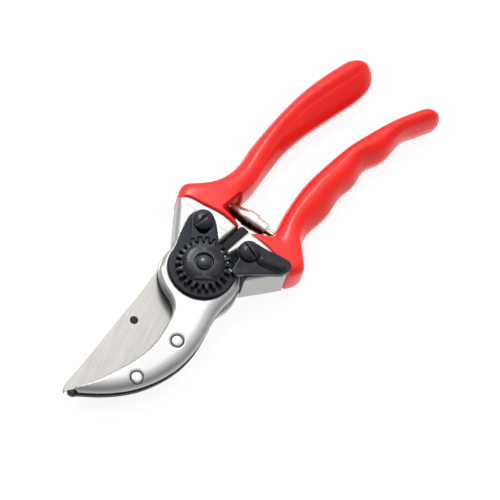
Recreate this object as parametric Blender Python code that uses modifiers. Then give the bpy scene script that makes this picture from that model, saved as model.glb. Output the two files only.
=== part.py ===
"""Bypass pruning shears, closed and latched.

The world origin is on the pivot axis, at the underside of the bolt head.
+X runs to the handle ends, the beak points to -X, and +Z is the nut side.
Every size is in millimetres and becomes metres where a mesh is made.
"""

import math

import bmesh
import bpy
from mathutils import Matrix, Vector

MM = 0.001

# Clearances
SEAT_GAP = 0.3  # between pieces that are fixed to each other
TURN_GAP = 0.2  # between plates that turn on each other

# Thicknesses along the pivot axis
BOLT_HEAD_T = 2.0
HEAD_LIFT = 0.9  # the bolt head stands this far out of the blade frame
BLADE_HEAD_T = 6.1
BLADE_T = 3.2
COUNTER_T = 2.8
HOOK_HEAD_T = 7.0
LOCK_PLATE_T = 2.6
LOCK_PLATE_SINK = 1.0
NUT_FLANGE_T = 2.6
NUT_HUB_T = 2.0
BOLT_TIP_RISE = 1.0  # the bolt's domed end above the nut
LOBE_RISE = 0.8  # the blade frame's lobe above the hook head
CATCH_T = 3.4
BEAK_DROP = 3.4  # the beak is this much thinner at its tip

# Levels
BLADE_HEAD_TOP = HEAD_LIFT + BLADE_HEAD_T
BLADE_LOW = BLADE_HEAD_TOP + TURN_GAP
BLADE_TOP = BLADE_LOW + BLADE_T
COUNTER_LOW = BLADE_TOP + TURN_GAP
COUNTER_TOP = COUNTER_LOW + COUNTER_T
HOOK_LOW = COUNTER_TOP + TURN_GAP
HOOK_TOP = HOOK_LOW + HOOK_HEAD_T
LOCK_LOW = HOOK_TOP - LOCK_PLATE_SINK + TURN_GAP
LOCK_TOP = LOCK_LOW + LOCK_PLATE_T
NUT_LOW = LOCK_TOP + TURN_GAP
NUT_FLANGE_TOP = NUT_LOW + NUT_FLANGE_T
NUT_TOP = NUT_FLANGE_TOP + NUT_HUB_T
LOBE_TOP = HOOK_TOP + LOBE_RISE
CATCH_LOW = LOBE_TOP + TURN_GAP
CATCH_TOP = CATCH_LOW + CATCH_T
NOSE_LOW = LOCK_TOP + SEAT_GAP

# Round the pivot
HEAD_R = 18.4  # blade frame's disc
RIM_GAP = 0.5  # from the disc to what stands round it
ROOT_CLEAR_R = HEAD_R + RIM_GAP  # inner side of the hook handle's root and of the lobe
WAIST_R = 12.5  # right side of the hook head, where the lobe's tongue passes
TONGUE_R = WAIST_R + RIM_GAP
TONGUE_ANGLE = -16.0
SHOULDER_ANGLE = -45.0  # hook head's shoulder, which the tongue's side never reaches
BOLT_R = 4.5
BOLT_FLAT = 3.8
BOLT_HEAD_R = 8.6
THREAD_R = 3.9
BUSH_WALL = 1.2
NUT_R = 12.2
NUT_ROOT_R = 9.7
NUT_TEETH = 22
NUT_HUB_R = 9.2
NUT_FLAT = 7.9
LOCK_R = 14.7
LOCK_END_R = 5.9

# Screws
SEGMENT_ANGLE = math.radians(45.6)
SEGMENT_REACH = 8.1  # from the nut's tooth tips to the segment's screw
SEGMENT_SCREW = (
    (NUT_R + SEGMENT_REACH) * math.cos(SEGMENT_ANGLE),
    (NUT_R + SEGMENT_REACH) * math.sin(SEGMENT_ANGLE),
)
CATCH_AXIS = (18.8, -9.3)
SCREW_R = 2.2
SCREW_HEAD_R = 4.7
SCREW_HEAD_T = 2.6
SLOT_W = 1.1

# Beak, measured from its root to its tip
BEAK_ROOT = -24.0
BEAK_LENGTH = 58.0
RIVET_R = 2.6
RIVET_TIP = 0.56  # place along the beak
RIVET_HEEL = 0.14
RIVET_Y = -17.1

# Handles
ROOT_END = 40.0  # the grips' lengths are measured from here
HOOK_GRIP_LENGTH = 87.6
BLADE_GRIP_LENGTH = 93.8
GRIP_MID_Z = 10.4
GRIP_HALF_T = 9.4
ROOT_HALF_T = 9.8
GRIP_WALL = 2.6
TANG_SHARE = 0.8  # how far the tang reaches into its grip

# Spring, from the hook handle's seat to the blade handle's
HOOK_SEAT = (33.9, 14.3)
BLADE_SEAT = (38.5, -8.2)
SPRING_R = 4.3
SPRING_END_R = 2.5
SPRING_BORE_R = 1.7
NUB_R = 1.3
NUB_REACH = 4.0
POCKET_LEFT = 7.0  # the hook grip's gap for the spring, either side of its seat
POCKET_RIGHT = 5.0
POCKET_UNDER = 1.2  # between the spring and the pocket's floor
SHOULDER_Y = 3.6  # hook handle's face over the bumper
LOBE_Y = -1.3  # lobe's face under it
WALL_Y = 17.0  # the hook root's straight outer wall, where it would cross the pivot
WALL_SLOPE = 0.86
WALL_START = 0.6
WALL_END = 21.5
TRIM_X = 31.0  # the roots reach past the seams, which trim them
TRIM_CORNER = [(TRIM_X, 24.0), (24.0, 33.5)]
LOBE_LOW_Y = -30.0
LOBE_RIM_ANGLE = -62
HOOK_GRIP_START = 12.0  # the same for the grips, on the other side
BLADE_GRIP_START = 22.0
HOOK_END_ROUND = 8.5
BLADE_END_ROUND = 5.5
PLATE_STEP = 0.15  # keeps joined pieces' faces off one plane
BELOW = -5.0  # cutters reach below and above every piece
ABOVE = 40.0

# Bush and pins in the blade side
BUSH_R = BOLT_R + SEAT_GAP + BUSH_WALL
PIN_R = 1.5
PIN_DEPTH = 4.0
PIN_PLACES = {"upper": (-11.0, 7.5), "lower": (-11.5, -6.5)}
BLADE_HOLE_R = 1.5
BLADE_HOLE = 0.2  # place along the beak
BLADE_HOLE_Y = 4.3

# Bumper
BUMPER_LEFT = 14.6
BUMPER_RIGHT = 28.8
BUMPER_LOW = BLADE_HEAD_TOP + SEAT_GAP
BUMPER_TOP = 17.5
BUMPER_CORNER = 1.2
STUD_R = 1.8
STUD_LENGTH = 4.0

# Catch
WASHER_R = 4.4
WASHER_T = 0.7
NOSE_ANGLE = -58.6  # round the pivot
RIDGE_RISE = 2.0
RIDGE_HALF_W = 2.4

COLORS = {
    "aluminium": ((0.78, 0.78, 0.77), 0.38, 0.9),
    "red_grip": ((0.72, 0.03, 0.02), 0.28, 0.0),
    "black_steel": ((0.03, 0.03, 0.035), 0.45, 0.6),
    "blade_steel": ((0.62, 0.6, 0.58), 0.35, 0.95),
    "spring_steel": ((0.8, 0.78, 0.74), 0.18, 1.0),
    "bronze": ((0.5, 0.33, 0.14), 0.4, 1.0),
    "rubber": ((0.02, 0.02, 0.02), 0.7, 0.0),
}


# ---------------------------------------------------------------- outlines


def polar(radius, degrees, center=(0.0, 0.0)):
    angle = math.radians(degrees)
    return (center[0] + radius * math.cos(angle), center[1] + radius * math.sin(angle))


def arc(radius, start, end, steps, center=(0.0, 0.0)):
    """Points from one angle to another, both included."""
    turn = (end - start) / steps
    return [polar(radius, start + turn * i, center) for i in range(steps + 1)]


def smooth(points, steps=3):
    """An open curve through the points, with its slopes weighted by their distances."""
    spans = [math.dist(a, b) for a, b in zip(points, points[1:])]
    rates = [
        [(b[k] - a[k]) / span for k in (0, 1)] for a, b, span in zip(points, points[1:], spans)
    ]
    slopes = [rates[0]]
    for i in range(1, len(rates)):
        before, after = spans[i - 1], spans[i]
        pairs = zip(rates[i - 1], rates[i])
        slopes.append([(a * after + b * before) / (before + after) for a, b in pairs])
    slopes.append(rates[-1])
    found = []
    for i, span in enumerate(spans):
        for j in range(steps):
            t = j / steps
            found.append(tuple(hermite(points, slopes, span, i, t)[k] for k in (0, 1)))
    return found + [tuple(points[-1])]


def hermite(points, slopes, span, i, t):
    return [
        points[i][k] * (2 * t**3 - 3 * t**2 + 1)
        + slopes[i][k] * span * (t**3 - 2 * t**2 + t)
        + points[i + 1][k] * (3 * t**2 - 2 * t**3)
        + slopes[i + 1][k] * span * (t**3 - t**2)
        for k in (0, 1)
    ]


def height_at(points, x):
    """y at x on a smooth curve through points whose x rises."""
    last = len(points) - 2
    i = min(last, max(0, sum(1 for p in points if p[0] <= x) - 1))
    (x0, y0), (x1, y1) = points[i], points[i + 1]
    before = points[max(0, i - 1)]
    after = points[min(len(points) - 1, i + 2)]
    span = x1 - x0
    slope0 = (y1 - before[1]) / (x1 - before[0])
    slope1 = (after[1] - y0) / (after[0] - x0)
    t = min(1.0, max(0.0, (x - x0) / span))
    return (
        y0 * (2 * t**3 - 3 * t**2 + 1)
        + slope0 * span * (t**3 - 2 * t**2 + t)
        + y1 * (3 * t**2 - 2 * t**3)
        + slope1 * span * (t**3 - t**2)
    )


def beak(share, y):
    return (BEAK_ROOT - share * BEAK_LENGTH, y)


def hook_outer_edge(grow=0.0):
    """The beak's convex edge, from near the tip to the rim of the head."""
    points = [
        beak(0.948, -4.4),
        beak(0.85, -10.1),
        beak(0.76, -14.5),
        beak(0.59, -20.6),
        beak(0.42, -24.0),
        beak(0.24, -25.5),
        beak(0.07, -24.7),
    ]
    grown = [(x - grow, y - grow) for x, y in points]
    neck = [(-19.2, -22.4), polar(HEAD_R + 4.0, -119.4), polar(HEAD_R + 0.7, -105.2)]
    return smooth(grown + neck + [polar(HEAD_R - SEAT_GAP, -87)])


def hook_rim():
    """The head's lower rim, ending at the shoulder beside the tongue."""
    insets = {-87.0: SEAT_GAP, -72.0: 0.6, -58.0: 1.6, SHOULDER_ANGLE: 2.6}
    return smooth([polar(HEAD_R - inset, angle) for angle, inset in insets.items()], 2)[1:]


def hook_inner_edge():
    """From the top of the crotch down into it and along the beak's inner edge."""
    return smooth(
        [
            (-12.4, 13.3),
            (-14.6, 11.6),
            (-17.0, 7.8),
            (-18.5, 3.5),
            (-19.4, -0.5),
            (-21.2, -4.0),
            (-24.4, -6.4),
            beak(0.15, -9.4),
            beak(0.31, -11.2),
            beak(0.48, -10.6),
            beak(0.64, -8.5),
            beak(0.81, -5.5),
            beak(0.95, -1.9),
        ]
    )


def wall_y(x):
    """The straight outer wall of the hook handle's root."""
    return WALL_Y + WALL_SLOPE * x


def hook_head_outline():
    inside_root = [(16.0, wall_y(11.5)), (11.5, wall_y(11.5)), (WALL_START, wall_y(WALL_START))]
    top_left = smooth([(WALL_START, wall_y(WALL_START)), (-2.5, 16.0), (-7.5, 15.3), (-12.4, 13.3)], 2)
    return (
        hook_outer_edge()
        + hook_rim()
        + arc(WAIST_R, SHOULDER_ANGLE, 15, 8)
        + [(14.0, SHOULDER_Y), (20.0, SHOULDER_Y)]
        + inside_root
        + top_left[1:]
        + hook_inner_edge()[1:]
    )


def counter_outline():
    """Follows the beak and stands out round its tip; a ring round the pivot."""
    ring = WAIST_R - 0.3
    tip = [beak(0.962, -1.2), beak(0.985, -0.2), beak(1.0, -1.6), beak(0.985, -3.6)]
    edge = hook_outer_edge(0.35)
    return (
        edge
        + arc(ring + 4.0, -78, -50, 4)
        + arc(ring, SHOULDER_ANGLE, 110, 18)
        + [(x + 0.05, y + 0.25) for x, y in hook_inner_edge()[1:-1]]
        + tip
    )


def blade_outline():
    spine = smooth(
        [
            (-12.0, 14.2),
            (-18.0, 12.9),
            beak(0.07, 10.9),
            beak(0.24, 9.4),
            beak(0.41, 7.7),
            beak(0.59, 5.9),
            beak(0.76, 4.4),
            beak(0.93, 3.1),
        ],
        2,
    )
    tip = [beak(0.975, 2.2), beak(0.985, 0.9), beak(0.97, -0.4)]
    belly = smooth(
        [
            beak(0.9, -4.0),
            beak(0.78, -8.6),
            beak(0.62, -12.4),
            beak(0.44, -14.8),
            beak(0.25, -15.6),
            beak(0.08, -14.9),
            (-20.0, -13.8),
            (-12.0, -12.4),
        ]
    )
    return spine + tip + belly + arc(WAIST_R - 0.5, -100, 100, 20)


def lock_plate_outline(grow=0.0):
    """Teardrop from the pivot to the segment screw, cut away where the tongue passes."""
    away = [(7.3, -8.6), (9.6, -4.5), (11.0, -0.5), (12.6, 2.9)]
    return (
        arc(LOCK_R + grow, 110, 301, 26)
        + [(x + grow, y - 0.4 * grow) for x, y in away]
        + arc(LOCK_END_R + grow, -37, 110, 12, SEGMENT_SCREW)
    )


def gear_outline():
    """Teeth pointing out, with a gap at 45 degrees for the segment."""
    pitch = 360.0 / NUT_TEETH
    points = []
    for i in range(NUT_TEETH):
        middle = 45.0 + pitch * (i + 0.5)
        points += [
            polar(NUT_ROOT_R, middle - 0.31 * pitch),
            polar(NUT_R, middle - 0.2 * pitch),
            polar(NUT_R, middle + 0.2 * pitch),
            polar(NUT_ROOT_R, middle + 0.31 * pitch),
        ]
    return points


def segment_outline():
    """Three teeth in the nut's gaps, and a body that reaches round the screw."""
    pitch = 360.0 / NUT_TEETH
    outer_r = NUT_R + 0.4
    tip_r = NUT_ROOT_R + 0.6
    teeth = []
    for i in (1, 0, -1):
        middle = 45.0 + pitch * i
        teeth += [
            polar(outer_r, middle + 0.24 * pitch),
            polar(tip_r, middle + 0.1 * pitch),
            polar(tip_r, middle - 0.1 * pitch),
            polar(outer_r, middle - 0.24 * pitch),
        ]
    body = arc(LOCK_END_R - 0.9, -40, 128, 10, SEGMENT_SCREW)
    return body + [polar(outer_r, 71)] + teeth + [polar(outer_r, 19)]


def obround(a, b, half_width, steps=6):
    heading = math.degrees(math.atan2(b[1] - a[1], b[0] - a[0]))
    return arc(half_width, heading - 90, heading + 90, steps, b) + arc(
        half_width, heading + 90, heading + 270, steps, a
    )


def catch_outline():
    """Round the catch's own axis: nose to -X, thumb end to -Y."""
    thumb = (7.0, -15.0)
    nose, nose_low, nose_high = (
        tuple(Vector(polar(NUT_R + reach, angle)) - Vector(CATCH_AXIS))
        for reach, angle in ((SEAT_GAP, NOSE_ANGLE), (2.1, -62.9), (1.75, -43.0))
    )
    return (
        smooth([nose, nose_low, (-10.8, -4.5), (3.6, -17.2)], 2)
        + arc(3.1, -125, 20, 6, thumb)[1:]
        + smooth([(9.0, -10.5), (6.8, -5.0), (5.5, 0.0)], 2)
        + arc(5.0, 20, 140, 8)
        + smooth([(-5.3, 0.8), nose_high, nose], 2)[:-1]
    )


# ---------------------------------------------------------------- handles


def on_hook_grip(share, y):
    return (ROOT_END + share * HOOK_GRIP_LENGTH, y)


def on_blade_grip(share, y):
    return (ROOT_END + share * BLADE_GRIP_LENGTH, y)


HOOK_HIGH = [
    (8.0, wall_y(8.0)),
    (14.0, wall_y(14.0)),
    (18.5, wall_y(18.5)),
    (22.0, 34.4),
    (24.5, 33.5),
    (28.0, 30.6),
    (33.0, 27.3),
    on_hook_grip(0.0, 25.4),
    on_hook_grip(0.11, 25.6),
    on_hook_grip(0.23, 28.0),
    on_hook_grip(0.46, 30.7),
    on_hook_grip(0.65, 31.5),
    on_hook_grip(0.82, 30.3),
    on_hook_grip(1.0, 27.6),
]
HOOK_LOW_SIDE = [
    (8.0, SHOULDER_Y),
    (27.0, SHOULDER_Y),
    (30.0, 6.0),
    (34.0, 10.0),
    (38.6, 12.5),
    on_hook_grip(0.08, 12.8),
    on_hook_grip(0.23, 15.4),
    on_hook_grip(0.35, 17.0),
    on_hook_grip(0.5, 16.9),
    on_hook_grip(0.7, 14.8),
    on_hook_grip(0.85, 13.4),
    on_hook_grip(1.0, 14.6),
]
BLADE_HIGH = [
    (20.0, LOBE_Y),
    (26.0, LOBE_Y),
    (29.5, -2.9),
    (32.5, -6.4),
    (35.0, -8.9),
    (37.5, -8.7),
    on_blade_grip(0.0, -7.3),
    on_blade_grip(0.1, -4.0),
    on_blade_grip(0.25, -0.9),
    on_blade_grip(0.4, -0.2),
    on_blade_grip(0.55, -0.6),
    on_blade_grip(0.7, -2.7),
    on_blade_grip(0.85, -6.3),
    on_blade_grip(1.0, -11.6),
]
BLADE_LOW_SIDE = [
    (20.0, -23.5),
    (26.0, -27.2),
    (29.0, -29.2),
    (32.5, -30.4),
    (35.0, -29.6),
    (37.5, -27.0),
    on_blade_grip(0.01, -23.4),
    on_blade_grip(0.05, -19.4),
    on_blade_grip(0.12, -17.1),
    on_blade_grip(0.24, -16.9),
    on_blade_grip(0.36, -14.3),
    on_blade_grip(0.45, -14.4),
    on_blade_grip(0.55, -12.3),
    on_blade_grip(0.66, -14.7),
    on_blade_grip(0.79, -13.5),
    on_blade_grip(0.88, -16.2),
    on_blade_grip(1.0, -20.4),
]

# Where the grips end against the bare aluminium, from the outer side to the inner
HOOK_SEAM = [
    (13.0, 38.0),
    (15.6, 31.5),
    (19.4, 27.8),
    (22.1, 20.1),
    (24.7, 12.5),
    (25.3, 6.0),
    (24.6, -1.0),
]
BLADE_SEAM = [(26.6, 2.0), (27.6, -4.5), (28.4, -11.2), (28.2, -18.0), (26.9, -24.5), (25.8, -32.0)]


def stations(start, end, round_length, count, round_count=5):
    """Places along X for sections, closer together where the end turns round."""
    if round_length == 0.0:
        return [start + (end - start) * i / count for i in range(count + 1)]
    straight = end - round_length
    found = [start + (straight - start) * i / count for i in range(count)]
    for i in range(round_count + 1):
        found.append(straight + round_length * math.sin(math.pi / 2 * i / round_count))
    return found


def handle_half_t(x):
    """Half the handle's thickness: full at the root and easing into the grip."""
    t = min(1.0, max(0.0, (x - 25.0) / 25.0))
    return ROOT_HALF_T + (GRIP_HALF_T - ROOT_HALF_T) * t


def handle_power(x):
    """Squareness of the section: blocky at the root, oval along the grip."""
    t = min(1.0, max(0.0, (x - 28.0) / 22.0))
    return 6.0 - 3.4 * t


def handle_loft(name, high, low, places, inset, round_from=None, sides=20):
    """Sections across X between two edge curves. With round_from, the end closes to a point."""
    mesh = bmesh.new()
    rings = []
    for x in places:
        top, bottom = high(x) - inset, low(x) + inset
        half_t = handle_half_t(x) - inset
        shrink = 1.0
        if round_from is not None and x > round_from:
            share = (x - round_from) / (places[-1] - round_from)
            shrink = math.sqrt(max(0.0, 1.0 - share * share))
        middle, half_w = (top + bottom) / 2, (top - bottom) / 2 * shrink
        if shrink < 1e-6:
            rings.append([mesh.verts.new(Vector((x, middle, GRIP_MID_Z)) * MM)])
            continue
        power = 2.0 / handle_power(x)
        ring = []
        for i in range(sides):
            turn = 2 * math.pi * (i + 0.5) / sides
            c, s = math.cos(turn), math.sin(turn)
            y = middle + half_w * math.copysign(abs(c) ** power, c)
            z = GRIP_MID_Z + half_t * shrink**0.8 * math.copysign(abs(s) ** power, s)
            ring.append(mesh.verts.new(Vector((x, y, z)) * MM))
        rings.append(ring)
    for a, b in zip(rings, rings[1:]):
        for i in range(sides):
            j = (i + 1) % sides
            if len(b) == 1:
                mesh.faces.new((a[i], a[j], b[0]))
            else:
                mesh.faces.new((a[i], a[j], b[j], b[i]))
    mesh.faces.new(list(reversed(rings[0])))
    if len(rings[-1]) > 1:
        mesh.faces.new(rings[-1])
    bmesh.ops.recalc_face_normals(mesh, faces=mesh.faces)
    return object_from(name, mesh)


# ---------------------------------------------------------------- objects


def object_from(name, mesh):
    data = bpy.data.meshes.new(name)
    mesh.to_mesh(data)
    mesh.free()
    made = bpy.data.objects.new(name, data)
    parts.objects.link(made)
    return made


def plate(name, outline, low, top, round_edge=0.0, at=(0.0, 0.0)):
    """A flat outline with a thickness, welded into one closed mesh."""
    curve = bpy.data.curves.new(name + "_outline", "CURVE")
    curve.dimensions = "2D"
    curve.fill_mode = "BOTH"
    curve.extrude = ((top - low) / 2 - round_edge) * MM
    curve.bevel_depth = round_edge * MM
    curve.bevel_resolution = 0
    curve.offset = -round_edge * MM
    spline = curve.splines.new("POLY")
    spline.points.add(len(outline) - 1)
    for point, (x, y) in zip(spline.points, outline):
        point.co = (x * MM, y * MM, 0.0, 1.0)
    spline.use_cyclic_u = True
    holder = bpy.data.objects.new(name + "_outline", curve)
    parts.objects.link(holder)
    bpy.context.view_layer.update()
    graph = bpy.context.evaluated_depsgraph_get()
    data = bpy.data.meshes.new_from_object(holder.evaluated_get(graph))
    bpy.data.objects.remove(holder)
    mesh = bmesh.new()
    mesh.from_mesh(data)
    bpy.data.meshes.remove(data)
    bmesh.ops.remove_doubles(mesh, verts=mesh.verts, dist=1e-6)
    bmesh.ops.recalc_face_normals(mesh, faces=mesh.faces)
    made = object_from(name, mesh)
    made.location = Vector((at[0], at[1], (low + top) / 2)) * MM
    return made


def turned(name, profile, at=(0.0, 0.0), steps=32):
    """A profile of (radius, height), from its top down the outer side, turned round Z."""
    mesh = bmesh.new()
    points = [mesh.verts.new(Vector((r, 0.0, z)) * MM) for r, z in profile]
    for a, b in zip(points, points[1:]):
        mesh.edges.new((a, b))
    if profile[0][0] > 0:
        mesh.edges.new((points[-1], points[0]))
    made = object_from(name, mesh)
    made.location = Vector((at[0], at[1], 0.0)) * MM
    screw = made.modifiers.new("turn", "SCREW")
    screw.steps = steps
    screw.render_steps = steps
    screw.use_merge_vertices = True
    screw.merge_threshold = 1e-6
    return made


def cylinder(name, radius, low, top, at=(0.0, 0.0), steps=32):
    return turned(name, [(0, top), (radius, top), (radius, low), (0, low)], at, steps)


def box(name, low, high):
    mesh = bmesh.new()
    bmesh.ops.create_cube(mesh, size=1.0)
    size = Vector(high) - Vector(low)
    bmesh.ops.scale(mesh, verts=mesh.verts, vec=size * MM)
    made = object_from(name, mesh)
    made.location = (Vector(high) + Vector(low)) / 2 * MM
    return made


def as_cutter(made):
    parts.objects.unlink(made)
    cutters.objects.link(made)
    made.hide_render = True
    made.display_type = "WIRE"
    return made


def boolean(target, tool, operation):
    if tool.name not in cutters.objects:
        as_cutter(tool)
    step = target.modifiers.new(tool.name, "BOOLEAN")
    step.operation = operation
    step.solver = "EXACT"
    step.object = tool


def cut(target, *tools):
    for tool in tools:
        boolean(target, tool, "DIFFERENCE")


def join(target, *tools):
    for tool in tools:
        boolean(target, tool, "UNION")


def along_spring(made, start):
    """Turns a piece made along Z so that it runs from start along the spring's line."""
    made.rotation_mode = "QUATERNION"
    made.rotation_quaternion = SPRING_LINE.to_track_quat("Z", "X")
    made.location = Vector((start[0], start[1], GRIP_MID_Z)) * MM


# ---------------------------------------------------------------- cutters shared by pieces


def seam_region(name, seam, side, gap=0.0):
    """Everything on one side of a seam: -1 is towards the pivot, +1 towards the grip's end."""
    far = -60.0 if side < 0 else 90.0
    edge = [(x + gap, y) for x, y in smooth(seam, 3)]
    outline = edge + [(far, edge[-1][1]), (far, edge[0][1])]
    return as_cutter(plate(name, outline, BELOW, ABOVE))


def beak_slope(name):
    """Takes the beak's front down towards its tip."""
    fall = math.atan2(BEAK_DROP, BEAK_LENGTH)
    made = box(name, (-140.0, -45.0, 0.0), (0.0, 25.0, 20.0))
    made.data.transform(Matrix.Translation(made.location))
    made.location = Vector((BEAK_ROOT, 0.0, HOOK_TOP)) * MM
    made.rotation_euler = (0.0, -fall, 0.0)
    return as_cutter(made)


# ---------------------------------------------------------------- hook side


def tang_low_side(x):
    """Over the spring's pocket the tang keeps above the seat."""
    over_pocket = HOOK_SEAT[1] + 2.0 - max(0.0, x - ROOT_END)
    return max(height_at(HOOK_LOW_SIDE, x) + GRIP_WALL, over_pocket)


def hook_tang(name, gap):
    places = stations(HEAD_R - 1.4, ROOT_END + TANG_SHARE * HOOK_GRIP_LENGTH, 0.0, 14)
    places[0] -= gap
    places[-1] += gap
    return handle_loft(
        name,
        lambda x: height_at(HOOK_HIGH, x),
        lambda x: tang_low_side(x) - GRIP_WALL,
        places,
        GRIP_WALL - gap,
        sides=12,
    )


def hook_nub(name, gap):
    length = 4.0 + NUB_REACH
    nub = cylinder(name, NUB_R + gap, -4.0, length - 4.0 + gap, steps=16)
    along_spring(nub, HOOK_SEAT)
    return nub


def make_hook_frame():
    frame = plate("hook_frame", hook_head_outline(), HOOK_LOW, HOOK_TOP)
    face = SHOULDER_Y + PLATE_STEP
    # where the wall crosses the circle of the inner side
    square, middle = 1 + WALL_SLOPE**2, WALL_Y * WALL_SLOPE
    start = (math.sqrt(middle**2 - square * (WALL_Y**2 - ROOT_CLEAR_R**2)) - middle) / square + RIM_GAP
    start_angle = math.degrees(math.atan2(wall_y(start), start)) - 2.0
    inner_corner = math.sqrt((ROOT_CLEAR_R + PLATE_STEP) ** 2 - face**2)
    root_outline = (
        [(TRIM_X, face), *TRIM_CORNER, (WALL_END, wall_y(WALL_END) - PLATE_STEP)]
        + [(start, wall_y(start) - PLATE_STEP)]
        + arc(ROOT_CLEAR_R, start_angle, 12, 12)
        + [(inner_corner, face)]
    )
    root = plate("hook_root", root_outline, HEAD_LIFT, HOOK_TOP - 0.2)
    cut(root, seam_region("hook_root_trim", HOOK_SEAM, 1, -SEAT_GAP))
    join(frame, root, hook_tang("hook_tang", 0.0), hook_nub("hook_nub", 0.0))
    cut(
        frame,
        beak_slope("beak_slope"),
        as_cutter(plate("lock_recess", lock_plate_outline(SEAT_GAP), LOCK_LOW - TURN_GAP, ABOVE)),
        keyed_hole("key_hole", HOOK_LOW - 5.0, HOOK_TOP + 5.0),
        as_cutter(
            cylinder("segment_thread", SCREW_R + SEAT_GAP, HEAD_LIFT + 9.0, ABOVE, SEGMENT_SCREW, 16)
        ),
        *rivet_holes("hook_rivet_hole"),
    )
    return frame


def keyed_hole(name, low, top):
    """The bolt's hole, with two flats that keep the bolt from turning."""
    hole = cylinder(name, BOLT_R + SEAT_GAP, low, top)
    for side in (-1, 1):
        inner = BOLT_FLAT + SEAT_GAP
        corners = sorted((side * inner, side * 9.0))
        flat = box(f"{name}_flat_{side}", (corners[0], -9.0, low - 1), (corners[1], 9.0, top + 1))
        cut(hole, flat)
    return as_cutter(hole)


def rivet_places():
    return {"tip": beak(RIVET_TIP, RIVET_Y), "heel": beak(RIVET_HEEL, RIVET_Y)}


def rivet_holes(name):
    return [
        as_cutter(cylinder(f"{name}_{end}", RIVET_R + SEAT_GAP, 0.0, ABOVE, place, 20))
        for end, place in rivet_places().items()
    ]


def make_hook_grip():
    end = ROOT_END + HOOK_GRIP_LENGTH
    grip = handle_loft(
        "hook_grip",
        lambda x: height_at(HOOK_HIGH, x),
        lambda x: height_at(HOOK_LOW_SIDE, x),
        stations(HOOK_GRIP_START, end, HOOK_END_ROUND, 24),
        0.0,
        round_from=end - HOOK_END_ROUND,
    )
    left, right = HOOK_SEAT[0] - POCKET_LEFT, HOOK_SEAT[0] + POCKET_RIGHT
    ceiling = HOOK_SEAT[1] + SPRING_END_R * SPRING_LINE.x
    floor = GRIP_MID_Z - SPRING_R - POCKET_UNDER
    pocket = box("spring_pocket", (left, -20.0, floor), (right, ceiling, ABOVE))
    cut(grip, seam_region("hook_grip_trim", HOOK_SEAM, -1), hook_tang("hook_tang_room", SEAT_GAP))
    cut(grip, pocket, hook_nub("hook_nub_room", SEAT_GAP))
    return grip


def make_counter_blade():
    blade = plate("counter_blade", counter_outline(), COUNTER_LOW, COUNTER_TOP)
    cut(blade, as_cutter(cylinder("counter_bore", BOLT_R + SEAT_GAP, 0.0, ABOVE)))
    cut(blade, *rivet_holes("counter_rivet_hole"))
    return blade


def make_counter_rivet(end, place):
    rivet = cylinder(f"counter_rivet_{end}", RIVET_R, COUNTER_LOW + 0.1, HOOK_TOP, place, 20)
    cut(rivet, beak_slope(f"rivet_slope_{end}"))
    return rivet


def make_lock_plate():
    made = plate("lock_plate", lock_plate_outline(), LOCK_LOW, LOCK_TOP)
    cut(made, as_cutter(cylinder("lock_bore", BOLT_R + SEAT_GAP, 0.0, ABOVE)))
    cut(made, as_cutter(cylinder("lock_screw_hole", SCREW_R + SEAT_GAP, 0.0, ABOVE, SEGMENT_SCREW, 16)))
    return made


def make_nut():
    nut = plate("pivot_nut", gear_outline(), NUT_LOW, NUT_FLANGE_TOP)
    hub = [
        (0, NUT_TOP),
        (NUT_HUB_R - 1.0, NUT_TOP),
        (NUT_HUB_R, NUT_TOP - 1.2),
        (NUT_HUB_R, NUT_FLANGE_TOP - 1.0),
        (0, NUT_FLANGE_TOP - 1.0),
    ]
    hub = turned("nut_hub", hub)
    for side in (-1, 1):
        ends = sorted((side * NUT_FLAT, side * 14.0))
        top = NUT_TOP + 3.0
        flat = box(f"nut_flat_{side}", (ends[0], -14.0, NUT_FLANGE_TOP), (ends[1], 14.0, top))
        flat.data.transform(Matrix.Translation(flat.location))
        flat.location = (0.0, 0.0, 0.0)
        flat.rotation_euler = (0.0, 0.0, math.radians(45))
        cut(hub, flat)
    join(nut, hub)
    cut(nut, as_cutter(cylinder("nut_bore", THREAD_R + SEAT_GAP, 0.0, ABOVE)))
    return nut


def make_segment():
    made = plate("nut_segment", segment_outline(), NUT_LOW, NUT_FLANGE_TOP)
    inner = (SEGMENT_SCREW[0] - 2.6, SEGMENT_SCREW[1] - 2.6)
    slot = obround(inner, SEGMENT_SCREW, SCREW_R + SEAT_GAP)
    cut(made, as_cutter(plate("segment_slot", slot, 0.0, ABOVE)))
    return made


def slotted_screw(name, seat, tip, at, slot_degrees):
    """A low domed head with a driver slot, on a plain shank."""
    top = seat + SCREW_HEAD_T
    profile = [
        (0, top),
        (SCREW_HEAD_R * 0.55, top - 0.25),
        (SCREW_HEAD_R * 0.9, top - 0.9),
        (SCREW_HEAD_R, top - 1.6),
        (SCREW_HEAD_R, seat),
        (SCREW_R, seat),
        (SCREW_R, tip),
        (0, tip),
    ]
    screw = turned(name, profile, at, 24)
    slot = box(f"{name}_slot", (-9.0, -SLOT_W / 2, top - 1.3), (9.0, SLOT_W / 2, top + 2.0))
    slot.location += Vector((at[0], at[1], 0.0)) * MM
    slot.rotation_euler = (0.0, 0.0, math.radians(slot_degrees))
    cut(screw, slot)
    return screw


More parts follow.
